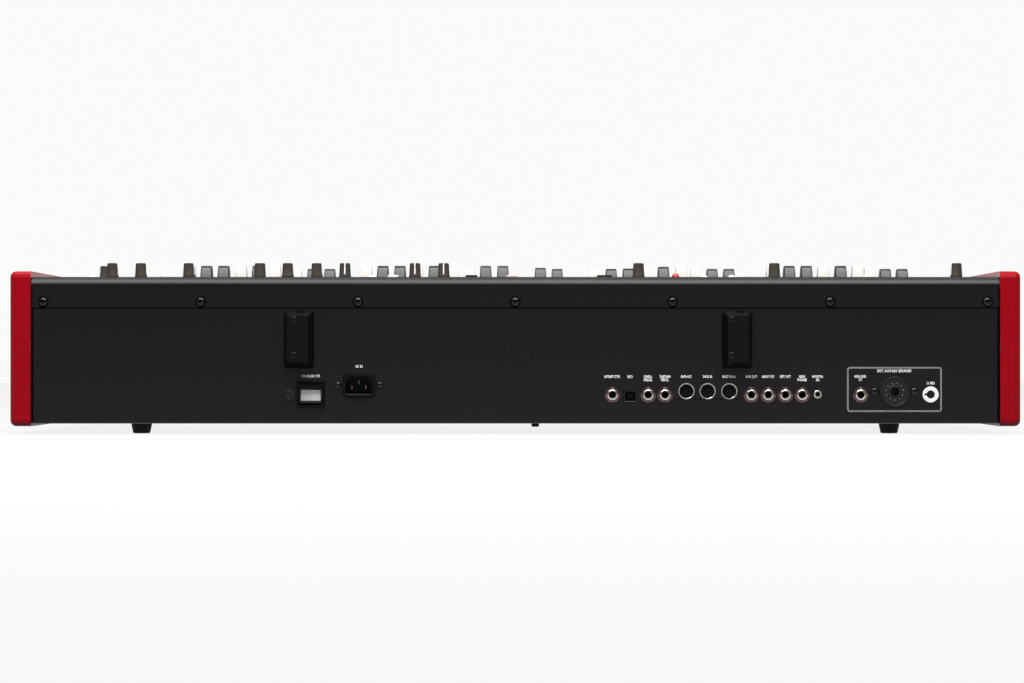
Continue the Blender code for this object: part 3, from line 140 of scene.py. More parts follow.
looks = {
    # Fine-textured powder coat: near black with a soft sparkle of its grain. The real grain is 0.4 mm,
    # drawn at 1.6
    "powderCoatedSteel": dict(colour="#120c0e", other="#0b0708", patch=2.2, grain=1.6, bump=0.04,
                              roughness=(0.24, 0.32), specular=0.28),
    # Sprayed polyester lacquer over wood: deep red, sharp highlights on the rounded edges, a hint of orange
    # peel
    "redLacquer": dict(colour="#9e0717", other="#950515", patch=60.0, grain=7.0, bump=0.02,
                       roughness=(0.24, 0.30), specular=0.12),
    # Satin black paint on beech: the grain shows as faint long strokes along the rail
    "blackPaintedWood": dict(colour="#1d1b1b", other="#171616", patch=14.0, grain=1.4, bump=0.25,
                             stretch=(0.06, 1, 1), roughness=(0.34, 0.44), specular=0.3),
    # Bright zinc plate on folded steel: cool grey with cloudy passivation
    "zincPlatedSteel": dict(colour="#b9bbb8", other="#a3a59c", patch=18.0, grain=2.0, bump=0.05,
                            roughness=(0.26, 0.40), metallic=1.0),
    # Plain sheet aluminium of the supply's case: rolled, with faint lines along it
    "rolledAluminium": dict(colour="#c4c5c6", other="#b0b1b3", patch=9.0, grain=0.8, bump=0.10,
                            stretch=(0.05, 1, 1), roughness=(0.30, 0.42), metallic=1.0),
    # Solder mask on glass-fibre board: glossy green with a darker weave
    "solderMask": dict(colour="#0f5a36", other="#0a4428", patch=6.0, grain=1.0, bump=0.10,
                       roughness=(0.30, 0.40)),
    # Injection-moulded keys, polished: warm white with a clean highlight
    "polishedKeyAcrylic": dict(colour="#eae8e1", other="#e4e1d8", patch=40.0, grain=9.0, bump=0.015,
                               roughness=(0.14, 0.20), coat=0.2),
    # Sharps in the same moulding, satin black
    "satinKeyAcrylic": dict(colour="#141313", other="#0f0f0f", patch=20.0, grain=1.2, bump=0.06,
                            roughness=(0.26, 0.34)),
    # Spark-eroded moulding of brackets, bezel and inlets: dead black with a fine tooth
    "mouldedNylonBlack": dict(colour="#0c0c0c", other="#080808", patch=3.0, grain=0.9, bump=0.08,
                              roughness=(0.30, 0.40), specular=0.12),
    # Drawbar caps in ABS: satin, with faint flow marks
    "brownAbs": dict(colour="#3d3027", other="#372b23", patch=6.0, grain=1.0, bump=0.08,
                     roughness=(0.34, 0.42), specular=0.15),
    "blackAbs": dict(colour="#1c1b1a", other="#181716", patch=6.0, grain=1.0, bump=0.08,
                     roughness=(0.34, 0.42), specular=0.15),
    "whiteAbs": dict(colour="#d3d0cb", other="#ccc9c3", patch=6.0, grain=1.0, bump=0.06,
                     roughness=(0.30, 0.38), specular=0.15),
    # Painted sheen on the rear of the dark caps: mid grey for the light their sloping rear faces reflect,
    # with a fine tooth
    "greyInlayAbs": dict(colour="#6e6e6c", other="#666664", patch=3.0, grain=0.8, bump=0.10,
                         roughness=(0.40, 0.50), specular=0.2),
    # Painted shade: near-black matt strips where the shadow falls in the seams of the case, and rings where
    # it falls round the cover's screws. They show as black lines
    "paintedShadeBlack": dict(colour="#040404", other="#030303", patch=1.6, grain=0.6, bump=0.30,
                     roughness=(0.85, 0.95), specular=0.05),
    # Soft-touch knob moulding: warm charcoal, matt
    "softTouchKnob": dict(colour="#403b35", other="#393530", patch=4.0, grain=0.9, bump=0.16,
                          roughness=(0.52, 0.62), specular=0.12),
    # Milky button with a lamp below: light spreads through it
    "milkyAcrylic": dict(colour="#eceae8", other="#e3e0dd", patch=5.0, grain=1.2, bump=0.03,
                         roughness=(0.28, 0.36), subsurface=0.2, glow=0.04),
    "rosyAcrylic": dict(colour="#cdb9b6", other="#c4afac", patch=5.0, grain=1.2, bump=0.03,
                        roughness=(0.28, 0.36), subsurface=0.1, glow=0.02),
    "redLampLens": dict(colour="#b4141a", other="#9a1016", patch=4.0, grain=1.2, bump=0.02,
                        roughness=(0.10, 0.16), subsurface=0.1, glow=0.05),
    # Painted highlight: light grey on the rocker's pad, where its face catches the light
    "rockerHighlightGrey": dict(colour="#979796", other="#8e8e8c", patch=5.0, grain=0.9, bump=0.08,
                              roughness=(0.32, 0.40)),
    # Rubber feet: matt, with a dusty bloom
    "mouldedRubber": dict(colour="#191918", other="#222120", patch=5.0, grain=0.8, bump=0.22,
                          roughness=(0.68, 0.82), specular=0.25),
    # Nickel-plated brass of jack barrels, socket collars and contacts: warm bright metal
    "nickelPlatedBrass": dict(colour="#d8d2cc", other="#c9c1ba", patch=2.4, grain=0.6, bump=0.04,
                              roughness=(0.16, 0.24), metallic=1.0),
    # Black nickel on the jacks' nuts and the inlet's pins: dark and slightly pink, with hard glints
    "blackNickelPlate": dict(colour="#7a6664", other="#68575a", patch=1.8, grain=0.5, bump=0.04,
                             roughness=(0.16, 0.24), metallic=1.0),
    # Oiled black-oxide screw heads: near black, with a small hard glint
    "blackOxideSteel": dict(colour="#0a0a0a", other="#070707", patch=1.8, grain=0.5, bump=0.03,
                            roughness=(0.10, 0.16), specular=0.36),
    # Black zinc-nickel screws of brackets and five-pole sockets: duller than the oiled heads
    "blackZincSteel": dict(colour="#0b0b0b", other="#080808", patch=1.8, grain=0.5, bump=0.05,
                           roughness=(0.28, 0.38), specular=0.16),
    # Compression-moulded phenolic of the eleven-pole socket, the fuse cap and the data socket's front: dark
    # grey-green, slightly chalky
    "phenolicMoulding": dict(colour="#1d201e", other="#181a19", patch=2.0, grain=0.7, bump=0.10,
                             roughness=(0.34, 0.44), specular=0.25),
    # Bright zinc on the lower edge of the data socket
    "zincScrew": dict(colour="#8b8a88", other="#6f6e6c", patch=1.6, grain=0.5, bump=0.06,
                      roughness=(0.24, 0.34), metallic=1.0),
    # Screen-printed ink: pale grey, slightly broken at its edges by the powder coat below
    "greyPrintInk": dict(colour="#8f8d8c", other="#828080", patch=0.9, grain=1.2, bump=0.15,
                         roughness=(0.5, 0.6), specular=0.2),
    "whitePrintInk": dict(colour="#fbfaf8", other="#f6f5f3", patch=0.9, grain=1.2, bump=0.15,
                          roughness=(0.5, 0.6), specular=0.2),
}
finishes = {name: makeMaterial(name, look) for name, look in looks.items()}
print("materials made:", len(finishes))

nodeFinish = {
    "top_cover": "powderCoatedSteel", "rear_panel": "powderCoatedSteel", "bottom_pan": "powderCoatedSteel",
    "left_cheek": "redLacquer", "right_cheek": "redLacquer",
    "front_rail": "blackPaintedWood", "manual_divider": "blackPaintedWood",
    "lower_key_chassis": "zincPlatedSteel", "upper_key_chassis": "zincPlatedSteel",
    "power_supply": "rolledAluminium",
    "drawbar_frame": "blackAbs", "rotary_socket": "phenolicMoulding", "fuse_holder": "phenolicMoulding",
}
drawbarColours = {"1": "brownAbs", "2": "brownAbs", "3": "whiteAbs", "4": "whiteAbs", "5": "blackAbs",
                  "6": "whiteAbs", "7": "blackAbs", "8": "blackAbs", "9": "whiteAbs"}


def finishOf(name):
    if name in nodeFinish:
        return nodeFinish[name]
    if name.startswith("drawbar_bass"):
        return "brownAbs"
    if name.startswith("drawbar_main"):
        return drawbarColours[name[-1]]
    for part, finish in (("naturals", "polishedKeyAcrylic"), ("sharps", "satinKeyAcrylic"),
                         ("knob", "softTouchKnob"),
                         ("button_3", "rosyAcrylic"), ("button", "milkyAcrylic"), ("foot", "mouldedRubber"),
                         ("connector_board", "mouldedNylonBlack"), ("board", "solderMask")):
        if part in name:
            return finish
    return "mouldedNylonBlack"


for name, node in nodes.items():
    node.data.materials.clear()
    node.data.materials.append(finishes[finishOf(name)])
print("frame painted")


# Surfaces: each is an array of points, rows by columns, whose columns close into a ring

def joinRings(points, closeRows=False):
    # Points and quads of the grid. Every row is a ring. The rows close into a tube, or each end gets one
    # flat face
    rows, columns = points.shape[:2]
    index = np.arange(rows * columns).reshape(rows, columns)
    lower = index if closeRows else index[:-1]
    upper = np.roll(index, -1, axis=0) if closeRows else index[1:]
    quads = np.stack([lower, np.roll(lower, -1, 1), np.roll(upper, -1, 1), upper], axis=-1)
    quads = quads.reshape(-1, 4).tolist()
    if not closeRows:
        quads += [index[0][::-1].tolist(), index[-1].tolist()]
    return points.reshape(-1, 3), quads


creaseAngle = math.radians(38)


def makePiece(name, solids, finish, body="root", smooth=True):
    # One mesh from several closed solids, with its normals turned outwards. Edges sharper than creaseAngle
    # stay sharp
    points, faces, count = [], [], 0
    for solidPoints, solidFaces in solids:
        points.append(solidPoints)
        faces += [[i + count for i in face] for face in solidFaces]
        count += len(solidPoints)
    mesh = bpy.data.meshes.new(name)
    mesh.from_pydata(np.concatenate(points).tolist(), [], faces)
    work = bmesh.new()
    work.from_mesh(mesh)
    bmesh.ops.recalc_face_normals(work, faces=work.faces)
    work.to_mesh(mesh)
    work.free()
    mesh.polygons.foreach_set("use_smooth", np.full(len(mesh.polygons), smooth))
    if smooth:
        mesh.set_sharp_from_angle(angle=creaseAngle)
    mesh.materials.append(finishes[finish])
    piece = bpy.data.objects.new(name, mesh)
    bpy.context.scene.collection.objects.link(piece)
    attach(piece, body)
    return piece


def onRear(x, out, z):
    # Points of the rear panel's outer face: x to the player's right, z up, out towards the viewer
    return np.stack(np.broadcast_arrays(x, panel["rearFace"] + out, z), axis=-1)


def turned(centre, profile, columns=48):
    # A profile of (out, radius) turned about the line that stands on the rear panel at centre
    out, radius = np.array(profile, dtype=float).T[:, :, None]
    angle = np.linspace(0, 2 * np.pi, columns, endpoint=False)
    return onRear(centre[0] + radius * np.cos(angle), out, centre[1] + radius * np.sin(angle))


def hexagon(centre, profile, columns=72):
    # As turned, with the radius stretched to a hexagon that points up: flat half-width over cosine of the
    # angle from the nearest flat's middle, cut back to the second radius by the chamfer
    out, flat, limit = np.array(profile, dtype=float).T[:, :, None]
    angle = np.linspace(0, 2 * np.pi, columns, endpoint=False)
    fromFlat = np.mod(angle, np.pi / 3) - np.pi / 6
    radius = np.minimum(flat / np.cos(fromFlat), limit)
    return onRear(centre[0] + radius * np.sin(angle), out, centre[1] + radius * np.cos(angle))


def roundedOutline(width, height, corner, steps=6):
    # Outline of a rounded rectangle: four quarter circles joined by straight sides
    angle = np.linspace(0, np.pi / 2, steps)
    quarters = []
    for turn, (sx, sz) in enumerate(((1, 1), (-1, 1), (-1, -1), (1, -1))):
        a = angle + turn * np.pi / 2
        quarters.append(np.stack([sx * (width / 2 - corner) + corner * np.cos(a),
                                  sz * (height / 2 - corner) + corner * np.sin(a)], axis=-1))
    return np.concatenate(quarters)


def loftOnRear(centre, levels, steps=6):
    # Rounded rectangles at several distances out: each level is (out, width, height, corner)
    rows = []
    for out, width, height, corner in levels:
        outline = roundedOutline(width, height, corner, steps)
        rows.append(onRear(centre[0] + outline[:, 0], out, centre[1] + outline[:, 1]))
    return np.stack(rows)


def reliefDisc(centre, radius, base, height, rows=20, columns=64):
    # A round front whose distance out is height(x, z), closed by a flat back at base
    angle = np.linspace(0, 2 * np.pi, columns, endpoint=False)
    ring = np.linspace(1.0, 0.02, rows)[:, None] * radius
    x, z = ring * np.cos(angle), ring * np.sin(angle)
    front = onRear(centre[0] + x, height(x, z), centre[1] + z)
    back = onRear(centre[0] + x[:1], base, centre[1] + z[:1])
    return np.concatenate([back, front])


def smoothStep(value, low, high):
    # 0 below low, 1 above high, and a smooth rise between them
    part = np.clip((value - low) / (high - low), 0.0, 1.0)
    return part * part * (3 - 2 * part)


# Screws

screws = {
    "cover": dict(places=[(x, 0.12757) for x in (-0.4549, -0.3033, -0.1516, 0.0, 0.1516, 0.3033, 0.4549)],
                  seat=0.0, radius=0.0043, rise=0.0024, finish="blackOxideSteel", recess="hexSocket"),
    "bracket": dict(places=[(0.21238, 0.1099), (0.21238, 0.07542), (-0.20736, 0.1099), (-0.20736, 0.07542)],
                    seat=0.0170, radius=0.0036, rise=0.0012, finish="blackZincSteel", recess="cross"),
    "inlet": dict(places=[(0.17095, 0.04722), (0.13087, 0.04722)],
                  seat=0.0, radius=0.0032, rise=0.0019, finish="blackOxideSteel", recess="plain"),
    "rotary": dict(places=[(-0.3464, 0.04096), (-0.3844, 0.04096)],
                   seat=0.0, radius=0.0038, rise=0.0019, finish="blackOxideSteel", recess="plain"),
    "fivePole": dict(places=[(x + side * 0.0077, 0.03393) for x in (-0.1648, -0.1852, -0.2061)
                             for side in (-1, 1)],
                     seat=0.0, radius=0.0017, rise=0.0009, finish="blackZincSteel", recess="cross"),
}


# Sizes of a recess as shares of the head's radius, its soft edges too, and its depth as a share of the
# head's rise
recesses = {
    "crossWidth": 0.16,
    "crossSide": (-0.07, 0.05),
    "crossLength": 0.60,
    "crossEnd": (-0.10, 0.25),
    "socketFlat": 0.42,
    "socketSide": (-0.04, 0.06),
    "depth": 0.75,
}
headEdgePower = 3.2
headRoot = 0.0002
# Painted shade round each cover screw: a thin black ring where the countersink's shadow falls
coverScrewShade = {"outer": 0.0054, "inner": 0.0010, "rise": 0.00015}


def screwHead(centre, look, turn):
    # A pan head: a quarter-ellipse edge under a slightly domed top, less its recess. A cross recess is two
    # crossed slots whose depth fades towards their ends, and a socket is a six-sided hole
    radius, rise, seat = look["radius"], look["rise"], look["seat"]

    def inside(limit, distance, edge):
        return smoothStep(radius * recesses[limit] - distance, *(radius * side for side in recesses[edge]))

    def height(x, z):
        share = np.clip(np.hypot(x, z) / radius, 0.0, 1.0)
        dome = rise * np.sqrt(np.clip(1 - share ** headEdgePower, 0.0, 1.0))
        u, v = x * math.cos(turn) - z * math.sin(turn), x * math.sin(turn) + z * math.cos(turn)
        if look["recess"] == "cross":
            hollow = np.maximum(*(inside("crossWidth", np.abs(a), "crossSide")
                                  * inside("crossLength", np.abs(b), "crossEnd")
                                  for a, b in ((u, v), (v, u))))
        elif look["recess"] == "plain":
            hollow = np.zeros_like(dome)
        else:
            across = [np.abs(u * math.cos(k) + v * math.sin(k)) for k in (0, math.pi / 3, -math.pi / 3)]
            hollow = inside("socketFlat", np.maximum.reduce(across), "socketSide")
        return seat + dome - rise * recesses["depth"] * hollow

    return joinRings(reliefDisc(centre, radius, seat - headRoot, height, rows=18, columns=48))


def makeScrews():
    for kind, look in screws.items():
        heads = [screwHead(place, look, 0.4 + 1.9 * i) for i, place in enumerate(look["places"])]
        makePiece(kind + "Screws", heads, look["finish"])
    # Black rings of painted shade round the cover's screws, where their countersinks' shadow falls
    outer, inner, rise = (coverScrewShade[k] for k in ("outer", "inner", "rise"))
    ring = [(0.0, outer), (rise, outer), (rise, inner), (0.0, inner)]
    shadeRings = [joinRings(turned(place, ring, 32), closeRows=True) for place in screws["cover"]["places"]]
    makePiece("coverScrewShadeRings", shadeRings, "paintedShadeBlack")
    print("screws made:", sum(len(look["places"]) for look in screws.values()))


makeScrews()


# The cover's rear bend, drawn as a true arc over the facets of the sheet

bend = {
    "radius": 0.009,
    "skin": 0.00006,
    "inside": 0.0006,
    "half": 0.4664,
    "run": 0.0008,
    "steps": 31,
}


def makeBend():
    # Cross-section: down the lip, round the arc and a little way along the panel, then back inside the sheet
    slope, radius = panel["slope"], bend["radius"]
    middle = np.array([panel["rearFace"] - radius,
                       panel["coverTop"] - radius / math.tan((math.pi / 2 - slope) / 2)])
    angle = np.linspace(0.0, math.pi / 2 + slope, bend["steps"])
    arc = np.stack([np.cos(angle), np.sin(angle)], axis=-1)
    lip, flat = np.array([0.0, -bend["run"]]), np.array([-math.cos(slope), -math.sin(slope)]) * bend["run"]
    rows = []
    for reach, order in ((radius + bend["skin"], 1), (radius - bend["inside"], -1)):
        side = np.concatenate([[arc[0] * reach + lip], arc * reach, [arc[-1] * reach + flat]])
        rows.append(side[::order])
    section = middle + np.concatenate(rows)
    ends = np.array([-bend["half"], bend["half"]])[:, None]
    points = np.stack(np.broadcast_arrays(ends, section[:, 0], section[:, 1]), axis=-1)
    makePiece("coverBend", [joinRings(points)], "powderCoatedSteel")
    print("bend made")


makeBend()


# Painted shade in the seams: black strips across under the lip of the cover, and up both ends of the rear
# panel and the cover, where the seams' shadow falls

seams = {
    "lipHeight": 0.1215,
    "lipHalf": 0.0007,
    "endX": 0.4661,
    "endHalf": 0.0009,
    "endTop": 0.1420,
    "endBottom": 0.0110,
    "out": 0.00012,
    "depth": 0.0011,
    "corner": 0.0002,
}


def makeSeams():
    high, end = seams["endTop"] - seams["endBottom"], (seams["endTop"] + seams["endBottom"]) / 2
    strips = []
    for centre, width, height in (((0.0, seams["lipHeight"]), 2 * seams["endX"], 2 * seams["lipHalf"]),
                                  ((seams["endX"], end), 2 * seams["endHalf"], high),
                                  ((-seams["endX"], end), 2 * seams["endHalf"], high)):
        strip = [(out, width, height, seams["corner"]) for out in (-seams["depth"], seams["out"])]
        strips.append(joinRings(loftOnRear(centre, strip, steps=3)))
    # The strips are painted shade, black where the seams' shadow falls
    makePiece("paintedShadeBlack", strips, "paintedShadeBlack", smooth=False)
    print("seams made")


makeSeams()


# Rear sockets

jacks = {
    "places": (-0.0935, -0.1280, -0.1442, -0.2273, -0.2436, -0.2601, -0.2763, -0.3327),
    "height": 0.03795,
    "nutFlat": 0.0062,
    "nutCorner": 0.0071,
    "nutRise": 0.0021,
    "barrel": 0.0050,
    "mouth": 0.0037,
    "bore": 0.00312,
    "washerTop": 0.0006,
    "threadPitch": 0.00022,
    "threadRows": 5,
    "tip": 0.0036,
    # The small jack: its place, and its ring as (out, radius)
    "monitorPlace": (-0.2912, 0.03845),
    "monitorRing": ((0.0, 0.0039), (0.0016, 0.0039), (0.0020, 0.0035), (0.0020, 0.0024), (0.0014, 0.0021),
                    (-0.002, 0.00175), (-0.002, 0.0030)),
}


def makeJacks():
    # Washer, hexagonal nut and barrel of each jack. Profiles are (out, radius), and for the nut (out, flat,
    # limit)
    flat, corner, rise, barrel = (jacks[k] for k in ("nutFlat", "nutCorner", "nutRise", "barrel"))
    top, tip, mouth, bore = (jacks[k] for k in ("washerTop", "tip", "mouth", "bore"))
    nuts, barrels = [], []
    for x in jacks["places"]:
        centre = (x, jacks["height"])
        washer = [(0.00005, corner + 0.0002), (0.0005, corner + 0.0002), (top, corner - 0.0001),
                  (top, barrel), (0.00005, barrel)]
        nuts.append(joinRings(turned(centre, washer), closeRows=True))
        nut = [(top, flat, corner - 0.0004), (0.0009, flat, corner), (rise - 0.0006, flat, corner),
               (rise, flat, flat * 1.01), (rise, barrel + 0.0003, barrel + 0.0003),
               (rise - 0.0003, barrel, barrel), (top, barrel, barrel)]
        nuts.append(joinRings(hexagon(centre, nut), closeRows=True))
        # Two turns of thread show between the nut and the mouth, which is countersunk
        pitch = jacks["threadPitch"]
        thread = [(rise + 0.0001 + pitch * k, barrel - (pitch if k % 2 else 0.0))
                  for k in range(jacks["threadRows"])]
        end = [(0.0034, barrel - 0.0003), (tip, barrel - 0.0007), (tip, mouth + 0.0001), (0.0028, bore),
               (-0.006, bore), (-0.006, bore + 0.0001), (0.0, barrel - 0.0001)]
        barrels.append(joinRings(turned(centre, thread + end), closeRows=True))
    makePiece("jackNuts", nuts, "blackNickelPlate")
    makePiece("jackBarrels", barrels, "nickelPlatedBrass")
    ring = turned(jacks["monitorPlace"], jacks["monitorRing"])
    makePiece("monitorJack", [joinRings(ring, closeRows=True)], "nickelPlatedBrass")
    print("jacks made")


fivePole = {
    "places": (-0.1648, -0.1852, -0.2061),
    "height": 0.04145,
    "radius": 0.0079,
    "pinCircle": 0.0040,
    "pinHole": 0.00085,
    "frontDepth": 0.0016,
    "recess": 0.0010,
    "notchHalf": 0.0011,
    "notchStart": (0.0048, 0.0052),
    "backDepth": 0.0040,
}


def makeFivePoleSockets():
    # Nickel collar round a black front. Five holes lie on a half circle, and a key notch cuts the rim at
    # the bottom
    angles = np.radians((0, 45, 90, 135, 180))
    holes = fivePole["pinCircle"] * np.stack([np.cos(angles), np.sin(angles)], axis=-1)

    def height(x, z):
        nearest = np.min(np.hypot(x[..., None] - holes[:, 0], z[..., None] - holes[:, 1]), axis=-1)
        hole = smoothStep(fivePole["pinHole"] - nearest, -0.0003, 0.0001)
        notch = smoothStep(fivePole["notchHalf"] - np.abs(x), -0.0002, 0.0002)
        notch = notch * smoothStep(-z, *fivePole["notchStart"])
        return -fivePole["frontDepth"] - fivePole["recess"] * hole - fivePole["recess"] * notch

    collars, fronts = [], []
    for x in fivePole["places"]:
        centre = (x, fivePole["height"])
        radius = fivePole["radius"]
        rim = [(0.0, radius), (0.0008, radius), (0.0011, radius - 0.0002), (0.0011, radius - 0.0009),
               (0.0008, radius - 0.0012), (-0.0030, radius - 0.0013), (-0.0030, radius - 0.0005)]
        collars.append(joinRings(turned(centre, rim), closeRows=True))
        front = reliefDisc(centre, radius - 0.0014, -fivePole["backDepth"], height, rows=26, columns=80)
        fronts.append(joinRings(front))
    makePiece("fivePoleCollars", collars, "nickelPlatedBrass")
    makePiece("fivePoleFronts", fronts, "mouldedNylonBlack")


rotary = {
    "centre": (-0.3653, 0.04105),
    "radius": 0.0144,
    "hub": 0.0043,
    "boss": 0.0060,
    "rimWidth": 0.0014,
    "holeCircle": 0.0089,
    "hole": 0.00115,
    "holes": 11,
    "firstHole": 40,
    # Heights off the panel: the face, and how far rim, boss and holes leave it
    "face": 0.0017,
    "rimRise": 0.0007,
    "bossRise": 0.0005,
    "holeDepth": 0.0014,
    # Where a contact stands on its hole's radius, as a share, and its profile as (out, radius)
    "contactShare": 0.93,
    "contact": ((0.0004, 0.0006), (0.0017, 0.0006), (0.0020, 0.00035)),
}


def makeRotarySocket():
    # Front with a raised rim and eleven holes on a circle, and a small bright contact at the side of each
    # hole
    angles = np.radians(rotary["firstHole"]) + 2 * np.pi * np.arange(rotary["holes"]) / rotary["holes"]
    holes = rotary["holeCircle"] * np.stack([np.cos(angles), np.sin(angles)], axis=-1)
    radius, hub = rotary["radius"], rotary["hub"]
    angle = np.linspace(0, 2 * np.pi, 176, endpoint=False)
    ring = np.linspace(radius, hub, 36)[:, None]
    x, z = ring * np.cos(angle), ring * np.sin(angle)
    nearest = np.min(np.hypot(x[..., None] - holes[:, 0], z[..., None] - holes[:, 1]), axis=-1)
    hole = smoothStep(rotary["hole"] - nearest, -0.0003, 0.0002)
    fromCentre = np.hypot(x, z)
    rim = smoothStep(fromCentre, radius - rotary["rimWidth"], radius - 0.0010)
    rim = rim * smoothStep(radius - fromCentre, 0.0, 0.0004)
    boss = smoothStep(rotary["boss"] - fromCentre, 0.0, 0.0005)
    out = rotary["face"] + rotary["rimRise"] * rim + rotary["bossRise"] * boss - rotary["holeDepth"] * hole
    centre = rotary["centre"]
    front = onRear(centre[0] + x, out, centre[1] + z)
    back = onRear(centre[0] + x[[-1, 0]], 0.0001, centre[1] + z[[-1, 0]])
    makePiece("rotaryFront", [joinRings(np.concatenate([front, back]), closeRows=True)], "phenolicMoulding")
    contacts = []
    for hx, hz in holes * rotary["contactShare"]:
        contacts.append(joinRings(turned((centre[0] + hx, centre[1] + hz), rotary["contact"], columns=10)))
    makePiece("rotaryContacts", contacts, "nickelPlatedBrass")
    print("round sockets made")


makeJacks()
makeFivePoleSockets()
makeRotarySocket()


# Power and data fittings. Their levels are (out, width, height, corner)

dataPort = {"centre": (-0.1106, 0.03665), "width": 0.0120, "height": 0.0108, "wall": 0.0006}
inlet = {"centre": (0.1508, 0.04715), "width": 0.0304, "height": 0.0239, "corner": 0.0048,
         "pins": ((0.0, 0.0030), (-0.0067, -0.0018), (0.0067, -0.0018))}
powerSwitch = {"centre": (0.1971, 0.03845), "width": 0.0263, "height": 0.0257, "axisDepth": 0.0045,
               "tilt": math.radians(7), "padWidth": 0.0196, "padHalf": 0.0052, "padDrop": 0.0016,
               "rockerMiddle": 0.0038, "dishRise": 0.0018, "dishHalf": 0.00915, "padRise": 0.00035}


def makeDataPort():
    # Dark front round a cavity, a bright lower edge, and the tongue that carries the contacts
    centre, wall = dataPort["centre"], dataPort["wall"]
    wide, high = dataPort["width"], dataPort["height"]
    shell = [(0.0, wide + 0.0002, high + 0.0002, 0.0010), (0.0006, wide, high, 0.0010),
             (0.0006, wide - 2 * wall, high - 2 * wall, 0.0007),
             (-0.0012, wide - 2 * wall, high - 2 * wall, 0.0007),
             (-0.0012, wide - wall, high - wall, 0.0009)]
    makePiece("dataPortShell", [joinRings(loftOnRear(centre, shell), closeRows=True)], "phenolicMoulding")
    edge = [(0.0, wide - 0.0016, 0.0006, 0.0002), (0.0009, wide - 0.0016, 0.0006, 0.0002)]
    low = (centre[0], centre[1] - high / 2 + 0.0003)
    makePiece("dataPortEdge", [joinRings(loftOnRear(low, edge, steps=3))], "zincScrew")
    tongue = [(-0.0085, 0.0056, 0.0034, 0.0004), (-0.0016, 0.0056, 0.0034, 0.0004),
              (-0.0012, 0.0050, 0.0028, 0.0004)]
    makePiece("dataPortTongue", [joinRings(loftOnRear(centre, tongue))], "mouldedNylonBlack")


def makeInlet():
    # Rounded lip over the shroud, and three nickel blades with bevelled tips
    centre, wide, high, corner = (inlet[k] for k in ("centre", "width", "height", "corner"))
    lip = [(0.0010, wide + 0.0004, high + 0.0004, corner), (0.0026, wide, high, corner),
           (0.0032, wide - 0.0010, high - 0.0010, corner - 0.0003),
           (0.0032, wide - 0.0042, high - 0.0056, 0.0028),
           (0.0026, wide - 0.0054, high - 0.0070, 0.0022), (0.0010, wide - 0.0056, high - 0.0072, 0.0022)]
    makePiece("inletLip", [joinRings(loftOnRear(centre, lip), closeRows=True)], "mouldedNylonBlack")
    blades = []
    for x, z in inlet["pins"]:
        blade = [(-0.0152, 0.0022, 0.0042, 0.0003), (-0.0030, 0.0022, 0.0042, 0.0003),
                 (-0.0018, 0.0012, 0.0032, 0.0003)]
        blades.append(joinRings(loftOnRear((centre[0] + x, centre[1] + z), blade)))
    makePiece("inletBlades", blades, "blackNickelPlate")


def makeSwitch():
    # Soft lip round the bezel's edge. The grey pad is painted highlight on the rocker's lit face. It follows
    # the rocker's
    # shallow dish: a straight slope up on both sides of its middle, turned with the rocker about its axis
    centre, wide, high = powerSwitch["centre"], powerSwitch["width"], powerSwitch["height"]
    lip = [(0.0003, wide + 0.0008, high + 0.0008, 0.0016), (0.0024, wide + 0.0004, high + 0.0004, 0.0015),
           (0.0032, wide - 0.0008, high - 0.0008, 0.0012), (0.0032, wide - 0.0024, high - 0.0020, 0.0009),
           (0.0024, wide - 0.0034, high - 0.0030, 0.0006), (0.0003, wide - 0.0036, high - 0.0032, 0.0006)]
    makePiece("switchLip", [joinRings(loftOnRear(centre, lip), closeRows=True)], "mouldedNylonBlack")
    z = np.linspace(-1, 1, 9)[:, None] * powerSwitch["padHalf"] - powerSwitch["padDrop"]
    dish = powerSwitch["rockerMiddle"] + powerSwitch["dishRise"] * np.abs(z) / powerSwitch["dishHalf"]
    face = dish + powerSwitch["padRise"]
    side = powerSwitch["padWidth"] / 2
    x = np.array([[-side, -side + 0.0005, side - 0.0005, side, side, -side]])
    lift = np.array([[-0.0003, 0.0, 0.0, -0.0003, -0.0010, -0.0010]])
    out, z = np.broadcast_arrays(face + lift, z)
    turn = powerSwitch["tilt"]
    along = out * math.cos(turn) - z * math.sin(turn) - powerSwitch["axisDepth"]
    up = out * math.sin(turn) + z * math.cos(turn)
    makePiece("rockerPad", [joinRings(onRear(centre[0] + x, along, centre[1] + up))], "rockerHighlightGrey",
              "power_rocker")


makeDataPort()
makeInlet()
makeSwitch()
print("power and data fittings made")


# Screen print

printed = {
    "thickness": 0.00006,
    "boxCentre": (-0.3652, 0.04313), "boxWidth": 0.0913, "boxHeight": 0.0433, "boxLine": 0.0015,
    "ringCentre": (-0.4001, 0.03836), "ringOuter": 0.0077, "ringInner": 0.0039, "key": 0.0020,
    "boxCorner": 0.0028,
    "keyHalfAngle": 0.26,
    "keyEdge": 0.10,
    "letterHeight": 0.0027,
    "boldness": 0.03,
    "lineStep": 0.0031,
}
